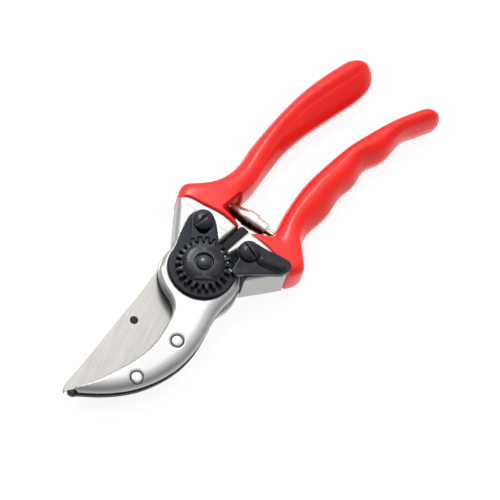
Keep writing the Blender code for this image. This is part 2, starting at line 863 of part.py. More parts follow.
def make_bolt():
    """Head at the back, a keyed shank in the hook frame and a thread in the nut."""
    dome_top = NUT_TOP + BOLT_TIP_RISE
    dome_r = THREAD_R - 1.0
    turns = (0.0, 0.5, 1.0, math.pi / 2)
    dome = [(dome_r * math.sin(a), dome_top - 1.6 * (1 - math.cos(a))) for a in turns]
    profile = dome + [
        (dome_r, NUT_TOP - 1.4),
        (THREAD_R, NUT_TOP - 1.4),
        (THREAD_R, LOCK_TOP - 0.4),
        (BOLT_R, LOCK_TOP - 0.4),
        (BOLT_R, BOLT_HEAD_T),
        (BOLT_HEAD_R, BOLT_HEAD_T),
        (BOLT_HEAD_R, 0.7),
        (BOLT_HEAD_R - 0.7, 0.0),
        (0, 0.0),
    ]
    bolt = turned("pivot_bolt", profile)
    for side in (-1, 1):
        ends = sorted((side * BOLT_FLAT, side * 9.0))
        flat = box(f"bolt_flat_{side}", (ends[0], -9.0, HOOK_LOW - 0.1), (ends[1], 9.0, LOCK_TOP - 0.4))
        cut(bolt, flat)
    return bolt


def make_spring():
    """A stepped tube: small at both ends and large in the middle, on the two nubs."""
    length = SPRING_LENGTH - 2 * SEAT_GAP
    steps = [
        (0.0, SPRING_END_R),
        (0.22, SPRING_R - 0.4),
        (0.5, SPRING_R),
        (0.8, SPRING_END_R + 0.2),
        (1.0, 0.0),
    ]
    outside = []
    for (start, radius), (end, _) in zip(steps, steps[1:]):
        outside += [(radius, start * length), (radius, end * length)]
    outside.reverse()
    profile = outside + [(SPRING_BORE_R, 0.0), (SPRING_BORE_R, length)]
    spring = turned("volute_spring", profile, steps=24)
    start = Vector((*HOOK_SEAT, 0.0)) + SPRING_LINE * SEAT_GAP
    along_spring(spring, start)
    return spring


# ---------------------------------------------------------------- blade side


def blade_head_outline():
    left = [
        (-13.6, 13.4),
        (-19.0, 10.3),
        (-22.0, 5.5),
        (-22.4, 0.0),
        (-20.3, -6.0),
        (-15.6, -11.6),
    ]
    return arc(HEAD_R, -118, 122, 40) + smooth(left, 2)


def lobe_outline():
    """Tongue beside the pivot, flat face under the bumper, straight outer wall."""
    tongue = [polar(TONGUE_R, TONGUE_ANGLE), (TONGUE_R + 0.1, LOBE_Y)]
    corners = [(TRIM_X, LOBE_Y), (TRIM_X, LOBE_LOW_Y)]
    return tongue + corners + arc(ROOT_CLEAR_R, LOBE_RIM_ANGLE, TONGUE_ANGLE, 10)


def blade_tang(name, gap):
    places = stations(BLADE_GRIP_START, ROOT_END + TANG_SHARE * BLADE_GRIP_LENGTH, 0.0, 16)
    places[-1] += gap
    return handle_loft(
        name,
        lambda x: height_at(BLADE_HIGH, x),
        lambda x: height_at(BLADE_LOW_SIDE, x),
        places,
        GRIP_WALL - gap,
        sides=12,
    )


def blade_nub(name, gap):
    nub = cylinder(name, NUB_R + gap, -NUB_REACH - gap, 4.0, steps=16)
    along_spring(nub, BLADE_SEAT)
    return nub


def make_blade_frame():
    frame = plate("blade_frame", blade_head_outline(), HEAD_LIFT, BLADE_HEAD_TOP)
    lobe = plate("lobe", lobe_outline(), HEAD_LIFT - PLATE_STEP, LOBE_TOP)
    cut(lobe, seam_region("lobe_trim", BLADE_SEAM, 1, -SEAT_GAP))
    join(frame, lobe, blade_tang("blade_tang", 0.0), blade_nub("blade_nub", 0.0))
    cut(
        frame,
        as_cutter(cylinder("frame_bush_hole", BUSH_R + SEAT_GAP, BELOW, BLADE_HEAD_TOP + 5.0)),
        as_cutter(cylinder("bolt_head_recess", BOLT_HEAD_R + SEAT_GAP, BELOW, BOLT_HEAD_T + SEAT_GAP)),
        as_cutter(cylinder("catch_thread", SCREW_R + SEAT_GAP, BLADE_HEAD_TOP + 1.0, ABOVE, CATCH_AXIS, 16)),
        bumper_stud("bumper_hole", SEAT_GAP),
        *pin_holes("frame_pin_hole", BLADE_HEAD_TOP - PIN_DEPTH - SEAT_GAP),
    )
    return frame


def make_blade_grip():
    end = ROOT_END + BLADE_GRIP_LENGTH
    grip = handle_loft(
        "blade_grip",
        lambda x: height_at(BLADE_HIGH, x),
        lambda x: height_at(BLADE_LOW_SIDE, x),
        stations(BLADE_GRIP_START, end, BLADE_END_ROUND, 34),
        0.0,
        round_from=end - BLADE_END_ROUND,
    )
    seat = cylinder("blade_seat", SPRING_R + 0.4, -12.0, 0.0, steps=24)
    along_spring(seat, BLADE_SEAT)
    cut(grip, seam_region("blade_grip_trim", BLADE_SEAM, -1), blade_tang("blade_tang_room", SEAT_GAP))
    cut(grip, seat, blade_nub("blade_nub_room", SEAT_GAP))
    return grip


def pin_holes(name, low):
    return [
        as_cutter(cylinder(f"{name}_{end}", PIN_R + SEAT_GAP, low, ABOVE, place, 16))
        for end, place in PIN_PLACES.items()
    ]


def make_cutting_blade():
    blade = plate("cutting_blade", blade_outline(), BLADE_LOW, BLADE_TOP)
    cut(blade, as_cutter(cylinder("blade_bore", BUSH_R + SEAT_GAP, 0.0, ABOVE)))
    hole = cylinder("blade_hole", BLADE_HOLE_R, 0.0, ABOVE, beak(BLADE_HOLE, BLADE_HOLE_Y), 16)
    cut(blade, as_cutter(hole))
    cut(blade, *pin_holes("blade_pin_hole", 0.0))
    return blade


def make_bush():
    bore = BOLT_R + SEAT_GAP
    low, top = BOLT_HEAD_T + SEAT_GAP, BLADE_TOP - 0.1
    return turned("pivot_bush", [(bore, top), (BUSH_R, top), (BUSH_R, low), (bore, low)])


def bumper_stud(name, gap):
    """Runs from the bumper into the lobe, along -Y."""
    stud = cylinder(name, STUD_R + gap, -1.0, STUD_LENGTH + gap, steps=16)
    stud.rotation_euler = (math.radians(90), 0.0, 0.0)
    middle = (BUMPER_LEFT + BUMPER_RIGHT) / 2
    stud.location = Vector((middle, LOBE_Y + SEAT_GAP, GRIP_MID_Z)) * MM
    return as_cutter(stud)


def make_bumper():
    low, high = LOBE_Y + SEAT_GAP, SHOULDER_Y - SEAT_GAP
    outline = [
        (BUMPER_LEFT, low),
        (BUMPER_RIGHT, low),
        (BUMPER_RIGHT, high - BUMPER_CORNER),
        (BUMPER_RIGHT - BUMPER_CORNER, high),
        (BUMPER_LEFT + BUMPER_CORNER, high),
        (BUMPER_LEFT, high - BUMPER_CORNER),
    ]
    bumper = plate("rubber_bumper", outline, BUMPER_LOW, BUMPER_TOP)
    join(bumper, bumper_stud("bumper_stud", 0.0))
    return bumper


# ---------------------------------------------------------------- catch

def make_catch():
    """Its nose is thinner than the rest, so it passes over the lock plate."""
    catch = plate("thumb_catch", catch_outline(), CATCH_LOW, CATCH_TOP, 0.0, CATCH_AXIS)
    outline = obround((1.7, -7.2), (4.9, -14.2), RIDGE_HALF_W)
    ridge = plate("thumb_ridge", outline, CATCH_TOP - 1.0, CATCH_TOP + RIDGE_RISE, 0.9)
    ridge.location += Vector((*CATCH_AXIS, 0.0)) * MM
    cut(
        catch,
        as_cutter(cylinder("nose_step", LOCK_R + 0.7, CATCH_LOW - 5.0, NOSE_LOW, steps=48)),
        as_cutter(cylinder("catch_bore", SCREW_R + SEAT_GAP, 0.0, ABOVE, CATCH_AXIS, 20)),
        as_cutter(
            cylinder("washer_recess", WASHER_R + 0.4, 0.0, CATCH_LOW + WASHER_T + TURN_GAP, CATCH_AXIS, 24)
        ),
    )
    join(catch, ridge)
    return catch


def make_catch_washer():
    low = CATCH_LOW
    inner = SCREW_R + SEAT_GAP
    profile = [(inner, low + WASHER_T), (WASHER_R, low + WASHER_T), (WASHER_R, low), (inner, low)]
    return turned("catch_washer", profile, CATCH_AXIS, 24)


# ---------------------------------------------------------------- assembly


def material(name):
    color, roughness, metallic = COLORS[name]
    made = bpy.data.materials.new(name)
    made.use_nodes = True
    shader = made.node_tree.nodes["Principled BSDF"]
    shader.inputs["Base Color"].default_value = (*color, 1.0)
    shader.inputs["Roughness"].default_value = roughness
    shader.inputs["Metallic"].default_value = metallic
    made.diffuse_color = (*color, 1.0)
    return made


def finish(made, finish_name, body):
    """Gives a piece its own material, sharp edges where they turn, and its body."""
    made.data.materials.clear()
    made.data.materials.append(material(finish_name))
    made.data.shade_smooth()
    made.data.set_sharp_from_angle(angle=math.radians(35))
    bpy.context.view_layer.update()
    placed = made.matrix_world.copy()
    made.parent = body
    made.matrix_parent_inverse = body.matrix_world.inverted()
    made.matrix_world = placed


def body_empty(name, at=(0.0, 0.0)):
    made = bpy.data.objects.new(name, None)
    made.empty_display_size = 10 * MM
    made.location = Vector((at[0], at[1], 0.0)) * MM
    parts.objects.link(made)
    bpy.context.view_layer.update()
    return made


for old in list(bpy.data.objects):
    bpy.data.objects.remove(old)
parts = bpy.data.collections.new("pruning_shears")
cutters = bpy.data.collections.new("cutters")
bpy.context.scene.collection.children.link(parts)
bpy.context.scene.collection.children.link(cutters)

seats = Vector((*BLADE_SEAT, 0.0)) - Vector((*HOOK_SEAT, 0.0))
SPRING_LENGTH = seats.length
SPRING_LINE = seats.normalized()

hook_body = body_empty("hook_handle_body")
blade_body = body_empty("blade_handle_body")
catch_body = body_empty("catch_body", CATCH_AXIS)

finish(make_hook_frame(), "aluminium", hook_body)
finish(make_hook_grip(), "red_grip", hook_body)
finish(make_counter_blade(), "black_steel", hook_body)
for rivet_end, rivet_place in rivet_places().items():
    finish(make_counter_rivet(rivet_end, rivet_place), "aluminium", hook_body)
finish(make_lock_plate(), "black_steel", hook_body)
finish(make_nut(), "black_steel", hook_body)
finish(make_segment(), "black_steel", hook_body)
segment_seat = NUT_FLANGE_TOP + TURN_GAP
finish(
    slotted_screw("segment_screw", segment_seat, HOOK_LOW - 2.0, SEGMENT_SCREW, 0),
    "black_steel",
    hook_body,
)
finish(make_bolt(), "black_steel", hook_body)
finish(make_spring(), "spring_steel", hook_body)

finish(make_blade_frame(), "aluminium", blade_body)
finish(make_blade_grip(), "red_grip", blade_body)
finish(make_cutting_blade(), "blade_steel", blade_body)
for pin_end, pin_place in PIN_PLACES.items():
    low, top = BLADE_HEAD_TOP - PIN_DEPTH, BLADE_TOP - 0.1
    pin = cylinder(f"blade_pin_{pin_end}", PIN_R, low, top, pin_place, 16)
    finish(pin, "blade_steel", blade_body)
finish(make_bush(), "bronze", blade_body)
finish(make_bumper(), "rubber", blade_body)
catch_seat = CATCH_TOP + TURN_GAP
finish(
    slotted_screw("catch_screw", catch_seat, BLADE_HEAD_TOP + 2.0, CATCH_AXIS, 80),
    "black_steel",
    blade_body,
)
finish(make_catch_washer(), "spring_steel", blade_body)

finish(make_catch(), "black_steel", catch_body)
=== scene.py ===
"""Bypass pruning shears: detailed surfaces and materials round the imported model.

The pivot axis is Z through the origin, +X runs to the handle ends and the beak
points to -X. Sizes are in millimetres and become metres where a mesh is made.
"""

import math

import bmesh
import bpy
import numpy as np
from mathutils import Matrix, Vector


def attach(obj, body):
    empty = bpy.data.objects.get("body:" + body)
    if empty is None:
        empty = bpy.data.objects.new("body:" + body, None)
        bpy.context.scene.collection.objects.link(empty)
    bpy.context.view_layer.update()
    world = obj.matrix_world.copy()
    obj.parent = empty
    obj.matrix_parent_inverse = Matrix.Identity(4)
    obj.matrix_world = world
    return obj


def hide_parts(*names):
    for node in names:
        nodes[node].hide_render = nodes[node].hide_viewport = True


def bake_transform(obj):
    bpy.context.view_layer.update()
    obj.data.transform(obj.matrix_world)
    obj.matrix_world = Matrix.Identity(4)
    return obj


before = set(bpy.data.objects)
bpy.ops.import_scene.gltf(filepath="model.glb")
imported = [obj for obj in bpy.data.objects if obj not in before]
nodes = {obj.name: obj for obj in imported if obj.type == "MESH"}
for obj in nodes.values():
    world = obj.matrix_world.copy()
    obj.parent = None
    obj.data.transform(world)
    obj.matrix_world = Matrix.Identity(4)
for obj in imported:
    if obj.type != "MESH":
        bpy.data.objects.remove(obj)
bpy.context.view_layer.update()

MM = 0.001
HOOK, BLADE, CATCH = "hook_handle", "blade_handle", "catch"

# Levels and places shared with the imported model
HOOK_TOP = 20.6
ROOT_LOW = 0.9
LOBE_TOP = 21.4
LOBE_LOW = 0.75
BEAK_ROOT = -24.0
BEAK_LENGTH = 58.0
BEAK_DROP = 3.4
MID_Z = 10.4
HOOK_SEAT = Vector((33.9, 14.3, MID_Z))
BLADE_SEAT = Vector((38.5, -8.2, MID_Z))
RIVETS = {"tip": (-56.48, -17.1), "heel": (-32.12, -17.1)}
SEGMENT_SCREW = (14.2, 14.5)
CATCH_AXIS = (18.8, -9.3)


# ---------------------------------------------------------------- curves


def along(points, u):
    """Smooth curve through points, with u from 0 to the number of spans."""
    points = np.asarray(points, float)
    last = len(points) - 1
    i = np.clip(np.floor(u).astype(int), 0, last - 1)
    t = (u - i)[..., None]
    a, b = points[i], points[i + 1]
    before, after = points[np.maximum(i - 1, 0)], points[np.minimum(i + 2, last)]
    return 0.5 * (
        2 * a
        + (b - before) * t
        + (2 * before - 5 * a + 4 * b - after) * t**2
        + (3 * a - before - 3 * b + after) * t**3
    )


def fine(points, steps=8):
    return along(points, np.linspace(0, len(points) - 1, (len(points) - 1) * steps + 1))


def value_at(points, x):
    """y at x on a smooth curve through points whose x rises."""
    curve = fine(points, 12)
    return np.interp(x, curve[:, 0], curve[:, 1])


def share_along(x, start, end):
    """From 0 at start to 1 at end, and held outside them."""
    return np.clip((x - start) / (end - start), 0, 1)


def polar(radius, degrees):
    a = math.radians(degrees)
    return (radius * math.cos(a), radius * math.sin(a))


def arc(radius, start, end, steps):
    return [polar(radius, start + (end - start) * i / steps) for i in range(steps + 1)]


# ---------------------------------------------------------------- meshes


def piece(name, verts, faces):
    """A mesh from points in millimetres."""
    data = bpy.data.meshes.new(name)
    data.from_pydata([tuple(v) for v in np.asarray(verts, float) * MM], [], faces)
    data.validate()
    made = bpy.data.objects.new(name, data)
    bpy.context.scene.collection.objects.link(made)
    bm = bmesh.new()
    bm.from_mesh(data)
    bmesh.ops.recalc_face_normals(bm, faces=bm.faces)
    bm.to_mesh(data)
    bm.free()
    return made


def bake(made):
    """Turns a piece's modifiers into its mesh."""
    bpy.context.view_layer.update()
    graph = bpy.context.evaluated_depsgraph_get()
    data = bpy.data.meshes.new_from_object(made.evaluated_get(graph))
    made.modifiers.clear()
    made.data = data
    return made


def copy_of(node, name):
    """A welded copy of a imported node's mesh, with no material."""
    data = nodes[node].data.copy()
    data.materials.clear()
    made = bpy.data.objects.new(name, data)
    bpy.context.scene.collection.objects.link(made)
    bm = bmesh.new()
    bm.from_mesh(data)
    bmesh.ops.remove_doubles(bm, verts=bm.verts, dist=1e-7)
    bmesh.ops.recalc_face_normals(bm, faces=bm.faces)
    bm.to_mesh(data)
    bm.free()
    return made


def voxels(made, size, smooth=0):
    """Rebuilds the mesh as an even skin of small quads, then evens it out."""
    step = made.modifiers.new("voxels", "REMESH")
    step.mode = "VOXEL"
    step.voxel_size = size * MM
    step.adaptivity = 0.0
    if smooth:
        step = made.modifiers.new("even", "SMOOTH")
        step.iterations = smooth
        step.factor = 0.5
    return bake(made)


def points_of(made):
    """The mesh's points, in millimetres."""
    co = np.empty(len(made.data.vertices) * 3)
    made.data.vertices.foreach_get("co", co)
    return co.reshape(-1, 3) / MM


def set_points(made, co):
    made.data.vertices.foreach_set("co", (co * MM).ravel())
    made.data.update()


def plan_distance(co, line):
    """Distance in plan from each point to a polyline."""
    best = np.full(len(co), 1e9)
    plan = co[:, :2]
    for a, b in zip(line[:-1], line[1:]):
        way = b - a
        t = np.clip(((plan - a) @ way) / max(way @ way, 1e-9), 0, 1)
        gap = plan - (a + t[:, None] * way)
        best = np.minimum(best, np.hypot(gap[:, 0], gap[:, 1]))
    return best


def round_over(made, line, width, depth, level, up=True, zone=None):
    """Rounds the edge that runs above a line in plan: width inwards and depth down from level."""
    co = points_of(made)
    near = plan_distance(co, np.asarray(line, float))
    share = np.clip((width - near) / width, 0, 1)
    drop = depth * (1 - np.sqrt(1 - share**2))
    at = level(co[:, 0]) if callable(level) else level
    if up:
        new = np.minimum(co[:, 2], at - drop)
    else:
        new = np.maximum(co[:, 2], at + drop)
    hit = near < width
    if zone is not None:
        hit &= zone(co)
    co[hit, 2] = new[hit]
    set_points(made, co)


def keep_left_of(made, x_limit):
    """Drops what lies past x_limit, and closes the cut."""
    bm = bmesh.new()
    bm.from_mesh(made.data)
    cut = bmesh.ops.bisect_plane(
        bm,
        geom=bm.verts[:] + bm.edges[:] + bm.faces[:],
        plane_co=(x_limit * MM, 0, 0),
        plane_no=(1, 0, 0),
        clear_outer=True,
    )
    edges = [e for e in cut["geom_cut"] if isinstance(e, bmesh.types.BMEdge)]
    bmesh.ops.holes_fill(bm, edges=edges)
    bm.to_mesh(made.data)
    bm.free()


def plate(name, outline, low, top):
    """A flat outline with a thickness."""
    outline = [tuple(p) for p in outline]
    n = len(outline)
    verts = [(*p, low) for p in outline] + [(*p, top) for p in outline]
    faces = [list(range(n)), list(range(n, 2 * n))]
    faces += [(i, (i + 1) % n, n + (i + 1) % n, n + i) for i in range(n)]
    return piece(name, verts, faces)


def skin(rings, count, first=0):
    """Faces between rings of points that lie one after another from first on."""
    faces = []
    for r in range(rings - 1):
        for i in range(count):
            a = first + r * count + i
            b = first + r * count + (i + 1) % count
            faces.append((a, b, b + count, a + count))
    return faces


def add_bevel(made, width, segments, angle=40):
    step = made.modifiers.new("edge", "BEVEL")
    step.width = width * MM
    step.segments = segments
    step.limit_method = "ANGLE"
    step.angle_limit = math.radians(angle)
    step.harden_normals = True
    return bake(made)


def turned(name, profile, at=(0.0, 0.0), steps=96):
    """A profile of (radius, height) turned round Z; the ends on the axis close it."""
    verts, rings = [], []
    for r, z in profile:
        if r == 0:
            rings.append([len(verts)])
            verts.append((at[0], at[1], z))
            continue
        ring = []
        for i in range(steps):
            a = 2 * math.pi * i / steps
            ring.append(len(verts))
            verts.append((at[0] + r * math.cos(a), at[1] + r * math.sin(a), z))
        rings.append(ring)
    if profile[0][0] > 0:
        rings.append(rings[0])
    faces = []
    for a, b in zip(rings, rings[1:]):
        for i in range(steps):
            j = (i + 1) % steps
            corners = [a[i % len(a)], a[j % len(a)], b[j % len(b)], b[i % len(b)]]
            faces.append(list(dict.fromkeys(corners)))
    return piece(name, verts, faces)


def block(name, low, high, turn=0.0, at=(0.0, 0.0, 0.0)):
    """A box cutter, turned round Z and moved."""
    (x0, y0, z0), (x1, y1, z1) = low, high
    verts = [(x, y, z) for z in (z0, z1) for x, y in ((x0, y0), (x1, y0), (x1, y1), (x0, y1))]
    faces = [(0, 1, 2, 3), (4, 5, 6, 7)]
    faces += [(i, (i + 1) % 4, 4 + (i + 1) % 4, 4 + i) for i in range(4)]
    made = piece(name, verts, faces)
    made.data.transform(Matrix.Translation(Vector(at) * MM) @ Matrix.Rotation(math.radians(turn), 4, "Z"))
    return made


def boolean(made, tool, operation="DIFFERENCE"):
    """Cuts the tool away or joins it on, and drops it."""
    step = made.modifiers.new("step", "BOOLEAN")
    step.operation = operation
    step.solver = "EXACT"
    step.object = tool
    bake(made)
    bpy.data.objects.remove(tool)
    return made


def done(made, look, body, slot, *replaced, sharp=None):
    """Gives a piece its material, shading and body, and hides the parts it replaces; slot is not used."""
    made.data.materials.clear()
    made.data.materials.append(look)
    made.data.shade_smooth()
    if sharp is not None:
        made.data.set_sharp_from_angle(angle=math.radians(sharp))
    if body:
        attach(made, body)
    if replaced:
        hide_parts(*replaced)
    return made


# ---------------------------------------------------------------- materials


class Look:
    """A node material with the surface's own coordinates."""

    def __init__(self, name):
        self.material = bpy.data.materials.new(name)
        self.material.use_nodes = True
        self.tree = self.material.node_tree
        self.shader = self.tree.nodes["Principled BSDF"]
        self.place = self.tree.nodes.new("ShaderNodeTexCoord").outputs["Object"]

    def set(self, **values):
        for name, value in values.items():
            self.shader.inputs[name.replace("_", " ")].default_value = value
        return self

    def node(self, kind, **settings):
        made = self.tree.nodes.new(kind)
        for name, value in settings.items():
            setattr(made, name, value)
        return made

    def link(self, a, b):
        self.tree.links.new(a, b)

    def mapped(self, scale, turn=(0, 0, 0), source=None):
        made = self.node("ShaderNodeMapping")
        made.inputs["Scale"].default_value = scale
        made.inputs["Rotation"].default_value = turn
        self.link(source or self.place, made.inputs["Vector"])
        return made.outputs["Vector"]

    def noise(self, scale, detail, rough=0.5, place=None):
        made = self.node("ShaderNodeTexNoise")
        made.inputs["Scale"].default_value = scale
        made.inputs["Detail"].default_value = detail
        made.inputs["Roughness"].default_value = rough
        self.link(place or self.place, made.inputs["Vector"])
        return made.outputs["Fac"]

    def ramp(self, source, *stops):
        """Stops are (position, color or grey)."""
        made = self.node("ShaderNodeValToRGB")
        elements = made.color_ramp.elements
        while len(elements) < len(stops):
            elements.new(0.5)
        for element, (position, value) in zip(elements, stops):
            element.position = position
            if not hasattr(value, "__len__"):
                value = (value, value, value)
            element.color = (*value, 1.0)
        self.link(source, made.inputs["Fac"])
        return made.outputs["Color"]

    def mix(self, a, b, share):
        made = self.node("ShaderNodeMix", data_type="RGBA")
        for value, name in ((share, "Factor"), (a, "A"), (b, "B")):
            sockets = [s for s in made.inputs if s.name == name and s.enabled]
            if isinstance(value, (int, float)):
                sockets[0].default_value = value
            elif isinstance(value, tuple):
                sockets[0].default_value = (*value, 1.0)
            else:
                self.link(value, sockets[0])
        return [s for s in made.outputs if s.enabled][0]

    def math(self, operation, a, b=0.5):
        made = self.node("ShaderNodeMath", operation=operation)
        for value, socket in zip((a, b), made.inputs):
            if isinstance(value, (int, float)):
                socket.default_value = value
            else:
                self.link(value, socket)
        return made.outputs["Value"]

    def color(self, source):
        self.link(source, self.shader.inputs["Base Color"])
        return self

    def rough(self, source):
        self.link(source, self.shader.inputs["Roughness"])
        return self

    def bump(self, *layers):
        """Layers are (height, distance in mm)."""
        normal = None
        for height, distance in layers:
            made = self.node("ShaderNodeBump")
            made.inputs["Strength"].default_value = 1.0
            made.inputs["Distance"].default_value = distance * MM
            self.link(height, made.inputs["Height"])
            if normal:
                self.link(normal, made.inputs["Normal"])
            normal = made.outputs["Normal"]
        self.link(normal, self.shader.inputs["Normal"])
        return self

    def edges(self):
        """About 0.5 on flat ground, and more on convex edges."""
        geometry = self.node("ShaderNodeNewGeometry")
        return geometry.outputs["Pointiness"]


ALUMINIUM_TINT = (0.385, 0.385, 0.38)
ALUMINIUM_BRIGHT = (0.44, 0.44, 0.44)


def aluminium(name, tint=ALUMINIUM_TINT):
    """Forged and tumbled: near white, with fine satin grain and faint clouding."""
    look = Look(name).set(Metallic=0.88, Roughness=0.36)
    clouds = look.noise(90, 4, 0.55)
    speckle = look.noise(2600, 3, 0.6)
    dark = tuple(c * 0.93 for c in tint)
    look.color(look.mix(look.ramp(clouds, (0.35, dark), (0.65, tint)), ALUMINIUM_BRIGHT, 0.25))
    satin = look.math("ADD", clouds, look.math("MULTIPLY", speckle, 0.4))
    look.rough(look.ramp(satin, (0.4, 0.33), (0.9, 0.46)))
    look.bump((speckle, 0.012), (look.noise(700, 4, 0.6), 0.02))
    return look.material


RED_DARK = (0.74, 0.012, 0.009)
RED_BRIGHT = (0.82, 0.019, 0.013)


def red_plastic(name):
    """Glossy dipped plastic with a slow waviness and a fine speckle."""
    look = Look(name).set(Metallic=0.0, Roughness=0.26, Specular_IOR_Level=0.3)
    slow = look.noise(40, 3, 0.5)
    fine_grain = look.noise(1800, 4, 0.6)
    look.color(look.ramp(slow, (0.3, RED_DARK), (0.7, RED_BRIGHT)))
    look.rough(look.ramp(fine_grain, (0.3, 0.25), (0.7, 0.31)))
    look.bump((look.noise(120, 2, 0.5), 0.02), (fine_grain, 0.0006))
    return look.material


BLACK_COOL = (0.72, 0.84, 1.0, 1.0)  # blackened steel shines slightly blue
PIT_SCALE = 1500
RUBBED = (0.06, 0.06, 0.06 * 1.03)


def black_steel(name, base=0.010, rough=0.36, metallic=0.25, relief=0.012, shine=0.2):
    """Blackened steel: mottled patches, fine pitting and rubbed edges; relief is in mm."""
    look = Look(name).set(Metallic=metallic, Roughness=rough, Specular_IOR_Level=shine)
    look.set(Specular_Tint=BLACK_COOL)
    mottle = look.noise(260, 4, 0.6)
    pits = look.noise(PIT_SCALE, 3, 0.65)
    dark, light = (base, base, base * 1.12), (base * 1.7, base * 1.7, base * 1.95)
    patch = look.ramp(mottle, (0.35, dark), (0.7, light))
    rubbed = look.ramp(look.edges(), (0.53, 0.0), (0.60, 1.0))
    look.color(look.mix(patch, RUBBED, look.math("MULTIPLY", rubbed, 0.6)))
    uneven = look.math("ADD", mottle, look.math("MULTIPLY", pits, 0.5))
    look.rough(look.ramp(uneven, (0.4, rough - 0.08), (1.0, rough + 0.1)))
    look.bump((pits, relief), (mottle, relief))
    return look.material


GRIND_ANGLE = 22.0  # of the grinding lines, from +X
STEEL_DARK = (0.185, 0.178, 0.170)
STEEL_BRIGHT = (0.275, 0.268, 0.258)


def ground_steel(name):
    """Ground blade steel: pale, with fine straight grinding lines across it."""
    look = Look(name).set(Metallic=0.9, Roughness=0.34)
    turned_to = look.mapped((1, 1, 1), (0, 0, math.radians(-GRIND_ANGLE)))
    lines = look.noise(1.0, 4, 0.7, look.mapped((45, 3200, 300), source=turned_to))
    broad = look.noise(1.0, 2, 0.5, look.mapped((24, 420, 60), source=turned_to))
    both = look.math("ADD", look.math("MULTIPLY", lines, 0.75), look.math("MULTIPLY", broad, 0.25))
    look.color(look.ramp(both, (0.35, STEEL_DARK), (0.65, STEEL_BRIGHT)))
    look.rough(look.ramp(both, (0.3, 0.30), (0.7, 0.45)))
    look.bump((lines, 0.02))
    return look.material


def plated_steel(name, tint):
    """Plated steel with drawing lines and slight tarnish."""
    look = Look(name).set(Metallic=1.0, Roughness=0.16)
    tarnish = look.noise(300, 3, 0.5)
    lines = look.noise(1.0, 3, 0.6, look.mapped((900, 120, 900)))
    look.color(look.ramp(tarnish, (0.3, tuple(c * 0.9 for c in tint)), (0.6, tint)))
    look.rough(look.ramp(lines, (0.3, 0.13), (0.7, 0.20)))
    look.bump((lines, 0.002))
    return look.material


STRIP_DARK = (0.62, 0.56, 0.50)
STRIP_BRIGHT = (0.80, 0.75, 0.70)
# near-black colour of the painted shade on the strip's faces towards the pivot
STRIP_SHADE = (0.012, 0.012, 0.010)


def spring_steel(name):
    """Cream bright strip, with painted shade on the side towards the pivot."""
    look = Look(name).set(Metallic=0.9, Roughness=0.24)
    grain = look.noise(1.0, 3, 0.6, look.mapped((260, 260, 90)))
    bright_side = look.ramp(grain, (0.3, STRIP_DARK), (0.65, STRIP_BRIGHT))
    # painted shade: the colour goes near black on faces turned towards the pivot (-X), made patchy with
    # noise
    facing = look.node("ShaderNodeSeparateXYZ")
    look.link(look.node("ShaderNodeTexCoord").outputs["Normal"], facing.inputs[0])
    patchy = look.math("ADD", facing.outputs["X"], look.math("MULTIPLY", look.noise(500, 3.0), 0.25))
    painted_shade = look.ramp(look.math("MULTIPLY_ADD", patchy, 0.5), (0.20, 1.0), (0.46, 0.0))
    look.color(look.mix(bright_side, STRIP_SHADE, painted_shade))
    look.rough(look.ramp(grain, (0.3, 0.20), (0.7, 0.30)))
    look.bump((grain, 0.004))
    return look.material


def bronze(name):
    """Sintered bronze with dark pores."""
    look = Look(name).set(Metallic=1.0, Roughness=0.36)
    pores = look.noise(1400, 3, 0.6)
    look.color(look.ramp(pores, (0.35, (0.34, 0.20, 0.07)), (0.6, (0.55, 0.36, 0.15))))
    look.bump((pores, 0.02))
    return look.material


def rubber(name):
    """Matt black rubber with a moulded grain."""
    look = Look(name).set(Metallic=0.0, Roughness=0.5, Specular_IOR_Level=0.15)
    grain = look.noise(900, 4, 0.6)
    look.color(look.ramp(grain, (0.3, (0.006, 0.006, 0.008)), (0.7, (0.013, 0.013, 0.015))))
    look.rough(look.ramp(grain, (0.3, 0.40), (0.7, 0.58)))
    look.bump((grain, 0.04))
    return look.material


forged = aluminium("forged_aluminium")
rivet_metal = aluminium("rivet_aluminium", (0.41, 0.41, 0.405))
red = red_plastic("red_sleeve")
black = black_steel("black_steel")
nut_black = black_steel("nut_steel", 0.009, 0.24, 0.25, relief=0.003, shine=0.28)
bolt_black = black_steel("bolt_steel", 0.020, 0.27, 0.5, relief=0.002, shine=0.9)
screw_black = black_steel("screw_steel", 0.014, 0.27, 0.3, relief=0.005, shine=0.28)
catch_black = black_steel("catch_steel", 0.012, 0.20, 0.3, relief=0.003, shine=0.28)
blade_metal = ground_steel("blade_steel")
bright = spring_steel("bright_steel")
pin_metal = plated_steel("pin_steel", (0.62, 0.61, 0.6))
bush_metal = bronze("bush_bronze")
black_rubber = rubber("black_rubber")


def finish_node(node, look):
    """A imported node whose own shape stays, with a better material."""
    data = nodes[node].data
    data.materials.clear()
    data.materials.append(look)


# ---------------------------------------------------------------- forged frames


def beak_top(x):
    """The beak's upper face falls evenly towards its tip."""
    return HOOK_TOP - np.maximum(0.0, BEAK_ROOT - x) * BEAK_DROP / BEAK_LENGTH


OUTER_EDGE = fine(
    [(-84, 2), (-79, -4.4), (-73.3, -10.1), (-68.1, -14.5), (-58.2, -20.6), (-48.4, -24.0)]
    + [(-37.9, -25.5), (-28.1, -24.7), (-19.2, -22.4), (-11, -19.5), (-5, -18.4), polar(18.1, -87)]
    + [polar(17.8, -72), polar(16.8, -58), polar(15.8, -45)]
)
INNER_EDGE = fine(
    [(-12.4, 13.3), (-14.6, 11.6), (-17, 7.8), (-18.5, 3.5), (-19.4, -0.5), (-21.2, -4), (-24.4, -6.4)]
    + [(-32.7, -9.4), (-42, -11.2), (-51.8, -10.6), (-61.1, -8.5), (-71, -5.5), (-79.1, -1.9)]
)
ROOT_EDGE = [(-12.4, 13.3), (-7.5, 15.3), (-2.5, 16), (0.6, 17.52), (10, 25.6), (17, 31.62)]
ROOT_EDGE = fine(ROOT_EDGE + [(30, 42.8)], 6)
WAIST_EDGE = np.array(arc(12.5, -45, 15, 10) + [(14, 3.6), (27, 3.6)])


